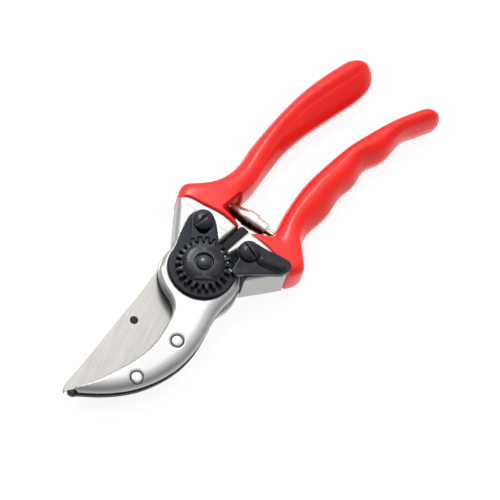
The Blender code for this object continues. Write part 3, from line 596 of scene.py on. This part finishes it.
TANG_CUT_X = 46.0  # the tangs are hidden in the sleeves, and end here
HANDLE_ZONE_X = 30
FORGED_FIRST, FORGED_LAST = 0.34, 0.36  # sizes of the skin's quads before and after rounding
FORGED_SMOOTH = 7


def make_hook_frame():
    """Hook handle, with a broad outer shoulder on its beak."""
    frame_piece = copy_of("hook_frame", "hook_frame_forged")
    keep_left_of(frame_piece, TANG_CUT_X)
    voxels(frame_piece, FORGED_FIRST)
    on_root = lambda co: co[:, 0] < HANDLE_ZONE_X
    round_over(frame_piece, OUTER_EDGE, 5.6, 2.5, beak_top)
    round_over(frame_piece, INNER_EDGE, 1.3, 1.2, beak_top)
    round_over(frame_piece, ROOT_EDGE, 2.6, 2.6, HOOK_TOP, zone=on_root)
    round_over(frame_piece, ROOT_EDGE, 2.2, 2.2, ROOT_LOW, up=False, zone=on_root)
    round_over(frame_piece, WAIST_EDGE, 1.2, 1.0, HOOK_TOP)
    voxels(frame_piece, FORGED_LAST, FORGED_SMOOTH)
    return done(frame_piece, forged, HOOK, "forged_aluminium", "hook_frame")


DISC_EDGE = np.array(
    arc(18.4, -118, 122, 60)
    + [(-13.6, 13.4), (-19, 10.3), (-22, 5.5), (-22.4, 0), (-20.3, -6), (-15.6, -11.6), polar(18.4, -118)]
)
LOBE_TOP_EDGE = np.array(arc(18.9, -62, -16, 14) + [polar(13, -16), (13.1, -1.3), (31, -1.3)])
LOBE_OUTER_EDGE = np.array([polar(18.9, -62), (20, -23.8), (31, -30)])


def make_blade_frame():
    """Blade handle: the head under the hook, and the lobe beside the pivot."""
    frame_piece = copy_of("blade_frame", "blade_frame_forged")
    keep_left_of(frame_piece, TANG_CUT_X)
    voxels(frame_piece, FORGED_FIRST)
    lobe_zone = lambda co: (co[:, 0] < HANDLE_ZONE_X) & (co[:, 2] > 12)
    low_zone = lambda co: (co[:, 0] < HANDLE_ZONE_X) & (co[:, 2] < 6)
    round_over(frame_piece, DISC_EDGE, 2.4, 2.4, ROOT_LOW, up=False, zone=low_zone)
    round_over(frame_piece, LOBE_TOP_EDGE, 1.8, 1.6, LOBE_TOP, zone=lobe_zone)
    round_over(frame_piece, LOBE_OUTER_EDGE, 1.1, 1.1, LOBE_TOP, zone=lobe_zone)
    round_over(frame_piece, LOBE_OUTER_EDGE, 2.0, 2.0, LOBE_LOW, up=False, zone=low_zone)
    voxels(frame_piece, FORGED_LAST, FORGED_SMOOTH)
    return done(frame_piece, forged, BLADE, "forged_aluminium", "blade_frame")


# ---------------------------------------------------------------- grips

# Outlines of the two sleeves in plan, from the seam to the end
HOOK_END, HOOK_END_ROUND = 127.6, 8.5
BLADE_END, BLADE_END_ROUND = 133.8, 5.5
HOOK_HIGH = [(8, 23.88), (14, 29.04), (18.5, 32.8), (22, 34.05), (24.5, 33.4), (28, 30.6), (33, 27.3)]
HOOK_HIGH += [(40, 25.4), (49.6, 25.6), (60.1, 28), (80.3, 30.7), (96.9, 31.5), (111.8, 30.3)]
HOOK_HIGH += [(HOOK_END, 27.6)]
HOOK_LOW = [(8, 3.6), (27, 3.6), (30, 6), (34, 10), (38.6, 12.5), (47, 12.8), (60.1, 15.4), (70.7, 17)]
HOOK_LOW += [(83.8, 16.9), (101.3, 14.8), (114.5, 13.4), (HOOK_END, 14.6)]
BLADE_HIGH = [(20, -1.3), (26, -1.3), (29.5, -2.9), (32.5, -6.4), (35, -8.9), (37.5, -8.7), (40, -7.3)]
BLADE_HIGH += [(49.4, -4), (63.5, -0.9), (77.5, -0.2), (91.6, -0.6), (105.7, -2.7), (119.7, -6.3)]
BLADE_HIGH += [(BLADE_END, -11.6)]
BLADE_LOW = [(20, -23.5), (26, -27.2), (29, -29.1), (32.5, -30.1), (35, -29.4), (37.5, -27), (40.9, -23.4)]
BLADE_LOW += [(44.7, -19.4), (51.3, -17.1), (62.5, -16.9), (73.8, -14.3), (82.2, -14.4), (91.6, -12.3)]
BLADE_LOW += [(101.9, -14.7), (114.1, -13.5), (122.5, -16.2), (BLADE_END, -20.4)]
HOOK_SEAM = [(24.6, -1), (25.3, 6), (24.7, 12.5), (22.1, 20.1), (19.4, 27.8), (15.6, 31.5), (13, 38)]
BLADE_SEAM = [(25.8, -32), (26.9, -24.5), (28.2, -18), (28.4, -11.2), (27.6, -4.5), (26.6, 2)]
# Where the crease runs between the low edge (0) and the high edge (1)
HOOK_CREASE = [(30, 0.10), (47, 0.12), (60, 0.25), (72, 0.40), (87, 0.50), (100, 0.50)]
HOOK_CREASE += [(112, 0.48), (128, 0.38)]
BLADE_CREASE = [(30, 0.12), (47, 0.22), (57, 0.27), (68, 0.25), (78, 0.22), (92, 0.28)]
BLADE_CREASE += [(104, 0.20), (134, 0.20)]
LIP = 1.1  # rounding of the sleeve's edge at the seam
PROUD = 0.35  # how far the sleeve stands above the frame there
TURN_IN = 2.2  # how far its end face runs in towards the tang
HALF_THICKNESS, THINNER = 9.8, 0.4  # at the seam, and how much thinner the handle is
BOXY, ROUNDER = 6.0, 3.4  # power of the section at the seam, and how much lower on the handle
CREASE_HEIGHT = 0.80  # share of the half thickness
PEAK_SHARE = 0.42  # place of the highest line, from the crease to the high edge
OVER = 64  # points over a section, and as many under it
ROWS, CROWDING = 150, 1.25  # sections along a sleeve, closer together at the seam
SETTLING = 6  # rounds in which x and y agree along the curved seam


def quarter(u):
    """A quarter turn, from 0 to 1 as u runs from 0 to 1."""
    return np.sin(u * math.pi / 2)


def grip(name, high, low, seam, crease, end, round_length):
    """A sleeve that is boxy at its seam and has a crease along its handle."""
    lower = OVER // 4
    seam_line = fine(seam, 6)
    i, k = np.arange(OVER + 1), np.arange(1, OVER)
    to_crease = quarter(np.minimum(i / lower, 1)) ** 1.4
    past_crease = quarter(share_along(i, lower, OVER)) ** 1.15
    s = np.empty(2 * OVER)  # across a section, from the low edge (0) to the high edge (1)
    rows = []
    for u in np.linspace(0, 1, ROWS) ** CROWDING:
        y = np.full(2 * OVER, float(np.mean([p[1] for p in seam])))
        for _ in range(SETTLING):
            start = np.interp(y, seam_line[:, 1], seam_line[:, 0])
            x = start + (end - start) * u
            past = np.clip(x - (end - round_length), 0, None) / round_length
            rounding = np.sqrt(np.clip(1 - past**2, 0, 1))
            left = 1 - np.clip((x - start) / LIP, 0, 1)
            lip = LIP * (1 - np.sqrt(np.clip(1 - left**2, 0, 1)))
            top_y, low_y = value_at(high, x), value_at(low, x)
            middle = (top_y + low_y) / 2
            half = np.maximum((top_y - low_y) / 2 - lip, 0.1) * rounding
            c = value_at(crease, np.clip(x, 30, end))
            over = c[: OVER + 1]
            s[: OVER + 1] = np.where(i <= lower, over * to_crease, over + (1 - over) * past_crease)
            s[OVER + 1 :] = 0.5 + 0.5 * np.cos(k / OVER * math.pi)
            y = middle + (2 * s - 1) * half
        grow = PROUD * (1 - share_along(x, 30, 55)) - lip
        half_t = (HALF_THICKNESS - THINNER * share_along(x, 25, 50) + grow) * rounding**0.8
        power = BOXY - ROUNDER * share_along(x, 28, 50)
        oval = np.clip(1 - np.abs(2 * s - 1) ** power, 0, None) ** (1 / power)
        peak = c + PEAK_SHARE * (1 - c)
        below = CREASE_HEIGHT * (1 - (1 - np.clip(s / c, 0, 1)) ** 1.35) ** (1 / 1.25)
        ridge = CREASE_HEIGHT + (1 - CREASE_HEIGHT) * quarter(share_along(s, c, peak))
        beyond = np.clip(1 - share_along(s, peak, 1) ** 2.5, 0, None) ** (1 / 2.3)
        creased = np.where(s < c, below, np.where(s < peak, ridge, beyond))
        blend = share_along(x, 31, 48)
        blend = blend * blend * (3 - 2 * blend)
        upper = oval * (1 - blend) + creased * blend
        z = np.where(np.arange(2 * OVER) <= OVER, upper, -oval)
        rows.append(np.stack([x, y, MID_Z + half_t * z], 1))
    # the sleeve's end face turns in towards the tang
    away = rows[0] - np.array([0, rows[0][:, 1].mean(), MID_Z])
    away[:, 0] = 0
    inner = rows[0] - away / np.linalg.norm(away, axis=1, keepdims=True) * TURN_IN
    verts = np.concatenate([inner, *rows])
    faces = skin(ROWS + 1, 2 * OVER) + [list(range(2 * OVER))[::-1]]
    made = piece(name, verts, faces)
    bm = bmesh.new()
    bm.from_mesh(made.data)
    bmesh.ops.remove_doubles(bm, verts=bm.verts, dist=1e-6)
    bmesh.ops.holes_fill(bm, edges=[e for e in bm.edges if e.is_boundary])
    bmesh.ops.recalc_face_normals(bm, faces=bm.faces)
    bm.to_mesh(made.data)
    bm.free()
    return made


POCKET_LEFT, POCKET_RIGHT, POCKET_UNDER = 7.0, 5.0, 5.5  # from the spring's seat
SEAT_PROFILE = [(0, 14), (6.2, 14), (4.1, 0.4), (3.7, -0.05), (0, -0.05)]


def spring_frame(origin, way):
    """Places a part at origin with its Z along way."""
    return Matrix.Translation(origin) @ way.to_track_quat("Z", "X").to_matrix().to_4x4()


def make_grips():
    """Both sleeves, with the spring's pocket in one and its seat in the other."""
    hook = grip("hook_grip_sleeve", HOOK_HIGH, HOOK_LOW, HOOK_SEAM, HOOK_CREASE, HOOK_END, HOOK_END_ROUND)
    corner = (HOOK_SEAT.x - POCKET_LEFT, -20, MID_Z - POCKET_UNDER)
    pocket = block("pocket", corner, (HOOK_SEAT.x + POCKET_RIGHT, HOOK_SEAT.y + 0.6, 40))
    add_bevel(pocket, 1.2, 4)
    boolean(hook, pocket)
    done(hook, red, HOOK, "red_sleeve", "hook_grip", sharp=50)
    blade = grip(
        "blade_grip_sleeve", BLADE_HIGH, BLADE_LOW, BLADE_SEAM, BLADE_CREASE, BLADE_END, BLADE_END_ROUND
    )
    seat = turned("seat", SEAT_PROFILE, steps=48)
    seat.data.transform(spring_frame(BLADE_SEAT * MM, (HOOK_SEAT - BLADE_SEAT).normalized()))
    boolean(blade, seat)
    done(blade, red, BLADE, "red_sleeve", "blade_grip", sharp=50)


# ---------------------------------------------------------------- steel


def make_soft_copies():
    """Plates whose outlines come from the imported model, with worked edges."""
    wanted = [
        ("counter_blade", "counter_blade_plate", 0.22, 4, black, HOOK, "black_steel"),
        ("lock_plate", "lock_plate_pressed", 0.16, 5, black, HOOK, "black_steel"),
        ("rubber_bumper", "bumper_moulded", 0.22, 40, black_rubber, BLADE, "black_rubber"),
    ]
    for node, name, size, smooth, look, body, slot in wanted:
        made = copy_of(node, name)
        voxels(made, size, smooth)
        done(made, look, body, slot, node)


SLOT_END_REACH, SLOT_END_R = 3.4, 2.9  # from the screw towards the pivot


def make_segment():
    """The end of the screw's slot shows below its head."""
    made = copy_of("nut_segment", "nut_segment_toothed")
    toward = -Vector((*SEGMENT_SCREW, 0)).normalized()
    middle = Vector((*SEGMENT_SCREW, 0)) + toward * SLOT_END_REACH
    angles = np.linspace(0, 2 * math.pi, 33)[:-1]
    ring = [(middle.x + SLOT_END_R * math.cos(a), middle.y + SLOT_END_R * math.sin(a)) for a in angles]
    boolean(made, plate("slot_end", ring, 20, 32))
    voxels(made, 0.13, 4)
    return done(made, nut_black, HOOK, "nut_steel", "nut_segment")


RIDGE = (np.array([20.3, -16.2]), np.array([23.7, -23.6]))
RIDGE_HALF_W = 2.75
CATCH_TOP = 25.0
RIDGE_TOP = 27.0


def make_catch():
    """The thumb ridge grows out of the catch as one long crown."""
    made = copy_of("thumb_catch", "thumb_catch_forged")
    voxels(made, 0.16, 2)
    co = points_of(made)
    near = plan_distance(co, np.array(RIDGE))
    crown = np.sqrt(np.clip(1 - (near / RIDGE_HALF_W) ** 2, 0, 1))
    raised = CATCH_TOP + (RIDGE_TOP - CATCH_TOP) * crown
    upper = (co[:, 2] > CATCH_TOP - 0.25) & (near < RIDGE_HALF_W + 0.6)
    co[upper, 2] = np.where(near[upper] < RIDGE_HALF_W, raised[upper], np.minimum(co[upper, 2], CATCH_TOP))
    set_points(made, co)
    voxels(made, 0.15, 6)
    return done(made, catch_black, CATCH, "catch_steel", "thumb_catch")


BLADE_SPINE = [(-12, 14.2), (-18, 12.9), (-28.1, 10.9), (-37.9, 9.4), (-47.8, 7.7), (-58.2, 5.9)]
BLADE_SPINE += [(-68.1, 4.4), (-77.9, 3.1), (-80.7, 2.1), (-81.5, 0.9)]
BLADE_BELLY = [(-81.5, 0.9), (-80.3, -0.6), (-76.2, -4.0), (-69.2, -8.6), (-60, -12.4), (-49.5, -14.8)]
BLADE_BELLY += [(-38.5, -15.6), (-28.6, -14.9), (-20, -13.8), (-12, -12.4)]
BLADE_HOLE = (-35.6, 4.3)
BLADE_UNDER, BLADE_FACE = 7.2, 10.4
GRIND_WIDTH = 5.0  # of the cutting bevel, on the back
BROKEN_EDGE = 0.12
PIN_PROFILE = [(0, 9.75), (0.35, 9.75), (0.5, 9.95), (1.0, 10.0)]
PIN_PROFILE += [(1.25, 9.9), (1.46, 9.5), (1.46, 7.4), (0, 7.4)]


def inset(outline, widths):
    """Moves each point of a closed outline inwards by its own width."""
    outline = np.asarray(outline, float)
    way = np.roll(outline, -1, 0) - np.roll(outline, 1, 0)
    way /= np.maximum(np.linalg.norm(way, axis=1, keepdims=True), 1e-9)
    side = np.stack([-way[:, 1], way[:, 0]], 1)
    x, y = outline[:, 0], outline[:, 1]
    if (x * np.roll(y, -1) - np.roll(x, -1) * y).sum() < 0:
        side = -side
    return outline + side * np.asarray(widths, float)[:, None]


def make_cutting_blade():
    """Flat face up, with the cutting edge ground on its back along the belly."""
    spine, belly = fine(BLADE_SPINE), fine(BLADE_BELLY)
    ring = np.array(arc(12.0, -100, 100, 60))
    outline = np.concatenate([spine, belly[1:], ring])
    count, first, last = len(outline), len(spine), len(spine) + len(belly) - 2
    ground = np.zeros(count)
    along_belly = np.linspace(0, 1, last - first)
    ground[first:last] = GRIND_WIDTH * np.clip(np.minimum(along_belly * 9, (1 - along_belly) * 5), 0, 1)
    low, top = BLADE_UNDER, BLADE_FACE
    thin = top - BROKEN_EDGE - (top - low - 0.3) * (1 - np.clip(ground, 0, 1)) - 0.1
    loops = [
        (inset(outline, np.full(count, BROKEN_EDGE)), np.full(count, top)),
        (outline, np.full(count, top - BROKEN_EDGE)),
        (outline, np.where(ground > 0, thin, low + 0.15)),
        (inset(outline, ground + BROKEN_EDGE), np.full(count, low)),
    ]
    verts = np.concatenate([np.column_stack([plan, level]) for plan, level in loops])
    faces = [list(range(count)), list(range(3 * count, 4 * count))] + skin(4, count)
    made = piece("cutting_blade_ground", verts, faces)
    boolean(made, turned("bore", [(0, 20), (6.3, 20), (6.3, 0), (0, 0)]))
    hole = [(0, 20), (1.9, 20), (1.9, BLADE_FACE), (1.5, 10.0), (1.5, 0), (0, 0)]
    boolean(made, turned("hole", hole, BLADE_HOLE, 48))
    done(made, blade_metal, BLADE, "blade_steel", "cutting_blade", sharp=16)
    stop = turned("blade_hole_pin", PIN_PROFILE, BLADE_HOLE, 40)
    done(stop, black, BLADE, "pin_steel", sharp=40)


TEETH = 22
NUT_TURN = 45.0  # degrees, of the gap that the segment fills and of the flats
# One side of a tooth: radius, and distance from its middle as a share of the pitch
TOOTH = [(9.65, 0.36), (9.9, 0.31), (11.9, 0.21), (12.2, 0.15)]
FLANGE_LOW, FLANGE_TOP = 22.6, 25.1
FLAT_HALF = 7.9
HUB_PROFILE = [(0, 27.2), (4.5, 27.2), (6.5, 27.1), (8.0, 26.95), (8.8, 26.65), (9.2, 26.2)]
HUB_PROFILE += [(9.25, 25.4), (9.5, 25.0), (9.5, 24.5), (0, 24.5)]
BORE_PROFILE = [(0, 30), (4.75, 30), (4.3, 27.0), (4.2, 26.6), (4.2, 20), (0, 20)]


def make_nut():
    """Toothed flange with a gap for the segment, and a hub with two wrench flats."""
    pitch = 360.0 / TEETH
    tooth = [(r, -share) for r, share in TOOTH] + TOOTH[::-1]
    outline = []
    for i in range(TEETH):
        middle = NUT_TURN + pitch * (i + 0.5)
        outline += [polar(r, middle + share * pitch) for r, share in tooth]
    flange = plate("pivot_nut_toothed", outline, FLANGE_LOW, FLANGE_TOP)
    add_bevel(flange, 0.22, 2, 50)
    hub = turned("hub", HUB_PROFILE)
    for side in (-1, 1):
        near, far = sorted((side * FLAT_HALF, side * 14))
        boolean(hub, block("flat", (near, -14, 25.25), (far, 14, 30), NUT_TURN))
    boolean(flange, hub, "UNION")
    boolean(flange, turned("bore", BORE_PROFILE))
    add_bevel(flange, 0.1, 2, 50)
    return done(flange, nut_black, HOOK, "nut_steel", "pivot_nut", sharp=32)


SCREW_HEAD_HEIGHT = 2.6
SHANK_R = 2.2
SLOT_DEPTH, SLOT_HALF_W = 1.35, 0.55


def screw(name, node, seat, tip, at, slot_angle, body):
    """A slotted screw with a low domed head on its seat."""
    top = seat + SCREW_HEAD_HEIGHT
    head = [(0, top), (1.6, top - 0.05), (2.9, top - 0.25), (3.8, top - 0.6), (4.35, top - 1.0)]
    head += [(4.62, top - 1.4), (4.7, top - 1.8), (4.7, seat + 0.35), (4.45, seat), (SHANK_R, seat)]
    made = turned(name, head + [(SHANK_R, tip + 0.5), (1.8, tip), (0, tip)], at)
    low = (-9, -SLOT_HALF_W, top - SLOT_DEPTH)
    boolean(made, block("slot", low, (9, SLOT_HALF_W, top + 2), slot_angle, (*at, 0)))
    add_bevel(made, 0.12, 2, 50)
    return done(made, screw_black, body, "screw_steel", node, sharp=35)


DOME_TOP, DOME_R, DOME_HEIGHT = 28.2, 3.45, 1.7
BOLT_PROFILE = [(DOME_R, 25.9), (3.9, 25.9), (3.9, 22.0), (4.5, 22.0), (4.5, 2.0), (8.5, 2.0)]
BOLT_PROFILE += [(8.6, 1.9), (8.6, 0.9), (8.45, 0.45), (8.1, 0.12), (7.6, 0.0), (0, 0)]


def make_bolt():
    """Its domed end stands in the nut, and its flat head is on the back."""
    angles = np.linspace(0, math.pi / 2, 12)
    dome = [(DOME_R * math.sin(a), DOME_TOP - DOME_HEIGHT * (1 - math.cos(a))) for a in angles]
    made = turned("pivot_bolt_domed", dome + BOLT_PROFILE)
    return done(made, bolt_black, HOOK, "black_steel", "pivot_bolt", sharp=35)


RIVET_FOOT = 10.8


def make_rivets():
    """Two peened ends, nearly flush with the beak."""
    for end, at in RIVETS.items():
        top = float(beak_top(np.array([at[0]]))[0])
        profile = [(0, top + 0.03), (1.9, top + 0.02), (2.3, top - 0.04), (2.52, top - 0.25)]
        profile += [(2.57, RIVET_FOOT), (0, RIVET_FOOT)]
        made = turned(f"counter_rivet_{end}_peened", profile, at, 64)
        done(made, rivet_metal, HOOK, "rivet_aluminium", f"counter_rivet_{end}", sharp=50)


# Start and end as shares of the spring's length, radius at each, angle where the strip begins
SPRING_WRAPS = [
    (0.02, 0.375, 2.5, 3.75, 200),
    (0.345, 0.57, 4.2, 4.2, 20),
    (0.53, 0.81, 3.85, 3.2, 140),
    (0.0, 0.99, 1.75, 1.75, 300),
]
STRIP_T = 0.42
STRIP_ROUND = 0.08
STRIP_CORNERS = 6  # of the strip's section
WRAP_TURNS = 1.15
WRAP_LEAN = 0.5  # how far a strip climbs in one wrap
SPRING_END_GAP = 0.3


def make_spring():
    """Flat strips wound round each other, widest in the middle."""
    way = BLADE_SEAT - HOOK_SEAT
    length = way.length
    turn = spring_frame(HOOK_SEAT, way.normalized())
    verts, faces = [], []
    steps = int(72 * WRAP_TURNS)
    for start, end, r_start, r_end, angle in SPRING_WRAPS:
        first = len(verts)
        for i in range(steps + 1):
            a = math.radians(angle) + 2 * math.pi * WRAP_TURNS * i / steps
            inward = STRIP_T * (1 - i / steps)
            lean = WRAP_LEAN * (i / steps - 0.5)
            low = max(start * length + lean, SPRING_END_GAP)
            high = min(end * length + lean, length - SPRING_END_GAP)
            section = (
                (r_start, low + STRIP_ROUND),
                (r_start + 0.07, low + 2 * STRIP_ROUND),
                (r_end + 0.07, high - 2 * STRIP_ROUND),
                (r_end, high - STRIP_ROUND),
                (r_end - STRIP_T, high - STRIP_ROUND),
                (r_start - STRIP_T, low + STRIP_ROUND),
            )
            for r, z in section:
                r -= inward
                verts.append(turn @ Vector((r * math.cos(a), r * math.sin(a), z)))
        faces += skin(steps + 1, STRIP_CORNERS, first)
        faces.append([first + k for k in range(STRIP_CORNERS)][::-1])
        faces.append([first + steps * STRIP_CORNERS + k for k in range(STRIP_CORNERS)])
    made = piece("volute_spring_wound", verts, faces)
    made.data.materials.append(bright)
    made.data.shade_smooth()
    made.data.set_sharp_from_angle(angle=math.radians(35))
    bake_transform(made)
    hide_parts("volute_spring")


# ---------------------------------------------------------------- camera, lights, floor


FLOOR_HALF = 900
FLOOR_GLOW = 0.86
SKY_STRENGTH = 1.4
SOFTBOX = (0.33, 0.42, 0.85)  # direction of the large light
# Brightness against the cosine from that direction, and against height from below to above
SOFTBOX_STOPS = ((0.45, 0.0), (0.66, 0.34), (0.82, 0.95), (1.0, 1.0))
SURROUND_STOPS = ((0.0, 0.90), (0.30, 0.70), (0.52, 0.60), (0.70, 0.42), (1.0, 0.08))


def grey_ramp(tree, source, stops):
    """Greys of the sky from a value; stops are (position, grey)."""
    ramp = tree.nodes.new("ShaderNodeValToRGB")
    while len(ramp.color_ramp.elements) < len(stops):
        ramp.color_ramp.elements.new(0.5)
    for element, (position, grey) in zip(ramp.color_ramp.elements, stops):
        element.position = position
        element.color = (grey, grey, grey, 1)
    tree.links.new(source, ramp.inputs["Fac"])
    return ramp.outputs["Color"]


def make_stage():
    """A pale glowing floor that reflections don't show, and a sky with a soft light."""
    corners = [(x * FLOOR_HALF, y * FLOOR_HALF, 0) for x, y in ((-1, -1), (1, -1), (1, 1), (-1, 1))]
    floor = piece("floor", corners, [(0, 1, 2, 3)])
    look = Look("pale_floor").set(Roughness=0.9)
    look.color(look.ramp(look.noise(3, 2), (0.3, 0.20), (0.7, 0.22)))
    look.set(Emission_Color=(1, 1, 1, 1), Emission_Strength=FLOOR_GLOW)
    floor.data.materials.append(look.material)
    floor.visible_glossy = False

    world = bpy.data.worlds.new("studio")
    bpy.context.scene.world = world
    world.use_nodes = True
    tree = world.node_tree
    direction = tree.nodes.new("ShaderNodeTexCoord").outputs["Generated"]
    overhead = tree.nodes.new("ShaderNodeVectorMath")
    overhead.operation = "DOT_PRODUCT"
    overhead.inputs[1].default_value = Vector(SOFTBOX).normalized()
    tree.links.new(direction, overhead.inputs[0])
    split = tree.nodes.new("ShaderNodeSeparateXYZ")
    tree.links.new(direction, split.inputs[0])
    share = tree.nodes.new("ShaderNodeMath")
    share.operation = "MULTIPLY_ADD"
    share.inputs[1].default_value = 0.5
    share.inputs[2].default_value = 0.5
    tree.links.new(split.outputs["Z"], share.inputs[0])
    box = grey_ramp(tree, overhead.outputs["Value"], SOFTBOX_STOPS)
    low = grey_ramp(tree, share.outputs[0], SURROUND_STOPS)
    total = tree.nodes.new("ShaderNodeVectorMath")
    total.operation = "ADD"
    tree.links.new(box, total.inputs[0])
    tree.links.new(low, total.inputs[1])
    tree.links.new(total.outputs[0], tree.nodes["Background"].inputs["Color"])
    tree.nodes["Background"].inputs["Strength"].default_value = SKY_STRENGTH


def area_light(name, toward, distance, size, power):
    """A square light that faces the pivot; distance and size are in metres."""
    data = bpy.data.lights.new(name, "AREA")
    data.shape = "RECTANGLE"
    data.size = data.size_y = size
    data.energy = power
    made = bpy.data.objects.new(name, data)
    bpy.context.scene.collection.objects.link(made)
    direction = Vector(toward).normalized()
    made.location = direction * distance
    made.rotation_mode = "QUATERNION"
    made.rotation_quaternion = direction.to_track_quat("Z", "Y")
    return made


VIEW_ROLL = 20
VIEW_HEIGHT = 0.023  # of the level that the camera looks at, in metres
VIEW_RIGHT, VIEW_UP = 0.020304, 0.0065664  # from the pivot to the picture's middle, in metres
VIEW_WIDTH = 0.216  # metres across the picture there
VIEW_DISTANCE = 2.5
SENSOR_WIDTH = 36


def make_camera():
    """Looks down from the beak's side, with the shears running up to the right."""
    flat = Vector((0.449, -0.893, 0.0)).normalized()
    upright = Vector((0.809, 0.407, 0.4226))
    upright = (upright - upright.dot(flat) * flat).normalized()
    back = flat.cross(upright)
    roll = math.radians(VIEW_ROLL)
    right = flat * math.cos(roll) + upright * math.sin(roll)
    up = upright * math.cos(roll) - flat * math.sin(roll)
    target = Vector((0, 0, VIEW_HEIGHT)) + right * VIEW_RIGHT + up * VIEW_UP
    data = bpy.data.cameras.new("camera")
    data.sensor_width = SENSOR_WIDTH
    data.lens = SENSOR_WIDTH * VIEW_DISTANCE / VIEW_WIDTH
    data.clip_start, data.clip_end = 0.05, 20
    camera = bpy.data.objects.new("camera", data)
    bpy.context.scene.collection.objects.link(camera)
    turn = Matrix((right, up, back)).transposed().to_4x4()
    camera.matrix_world = Matrix.Translation(target + back * VIEW_DISTANCE) @ turn
    bpy.context.scene.camera = camera


make_camera()
make_stage()
area_light("spot", (0.30, 0.42, 0.86), 0.8, 0.15, 2.6)
bpy.context.scene.view_settings.view_transform = "Standard"

make_hook_frame()
make_blade_frame()
make_grips()
make_soft_copies()
make_cutting_blade()
make_catch()
make_segment()
screw("segment_screw_slotted", "segment_screw", 25.4, 11.6, SEGMENT_SCREW, 0, HOOK)
screw("catch_screw_slotted", "catch_screw", 25.2, 9.0, CATCH_AXIS, 80, BLADE)
make_nut()
make_bolt()
make_rivets()
make_spring()
finish_node("pivot_bush", bush_metal)
finish_node("blade_pin_upper", pin_metal)
finish_node("blade_pin_lower", pin_metal)
finish_node("catch_washer", pin_metal)
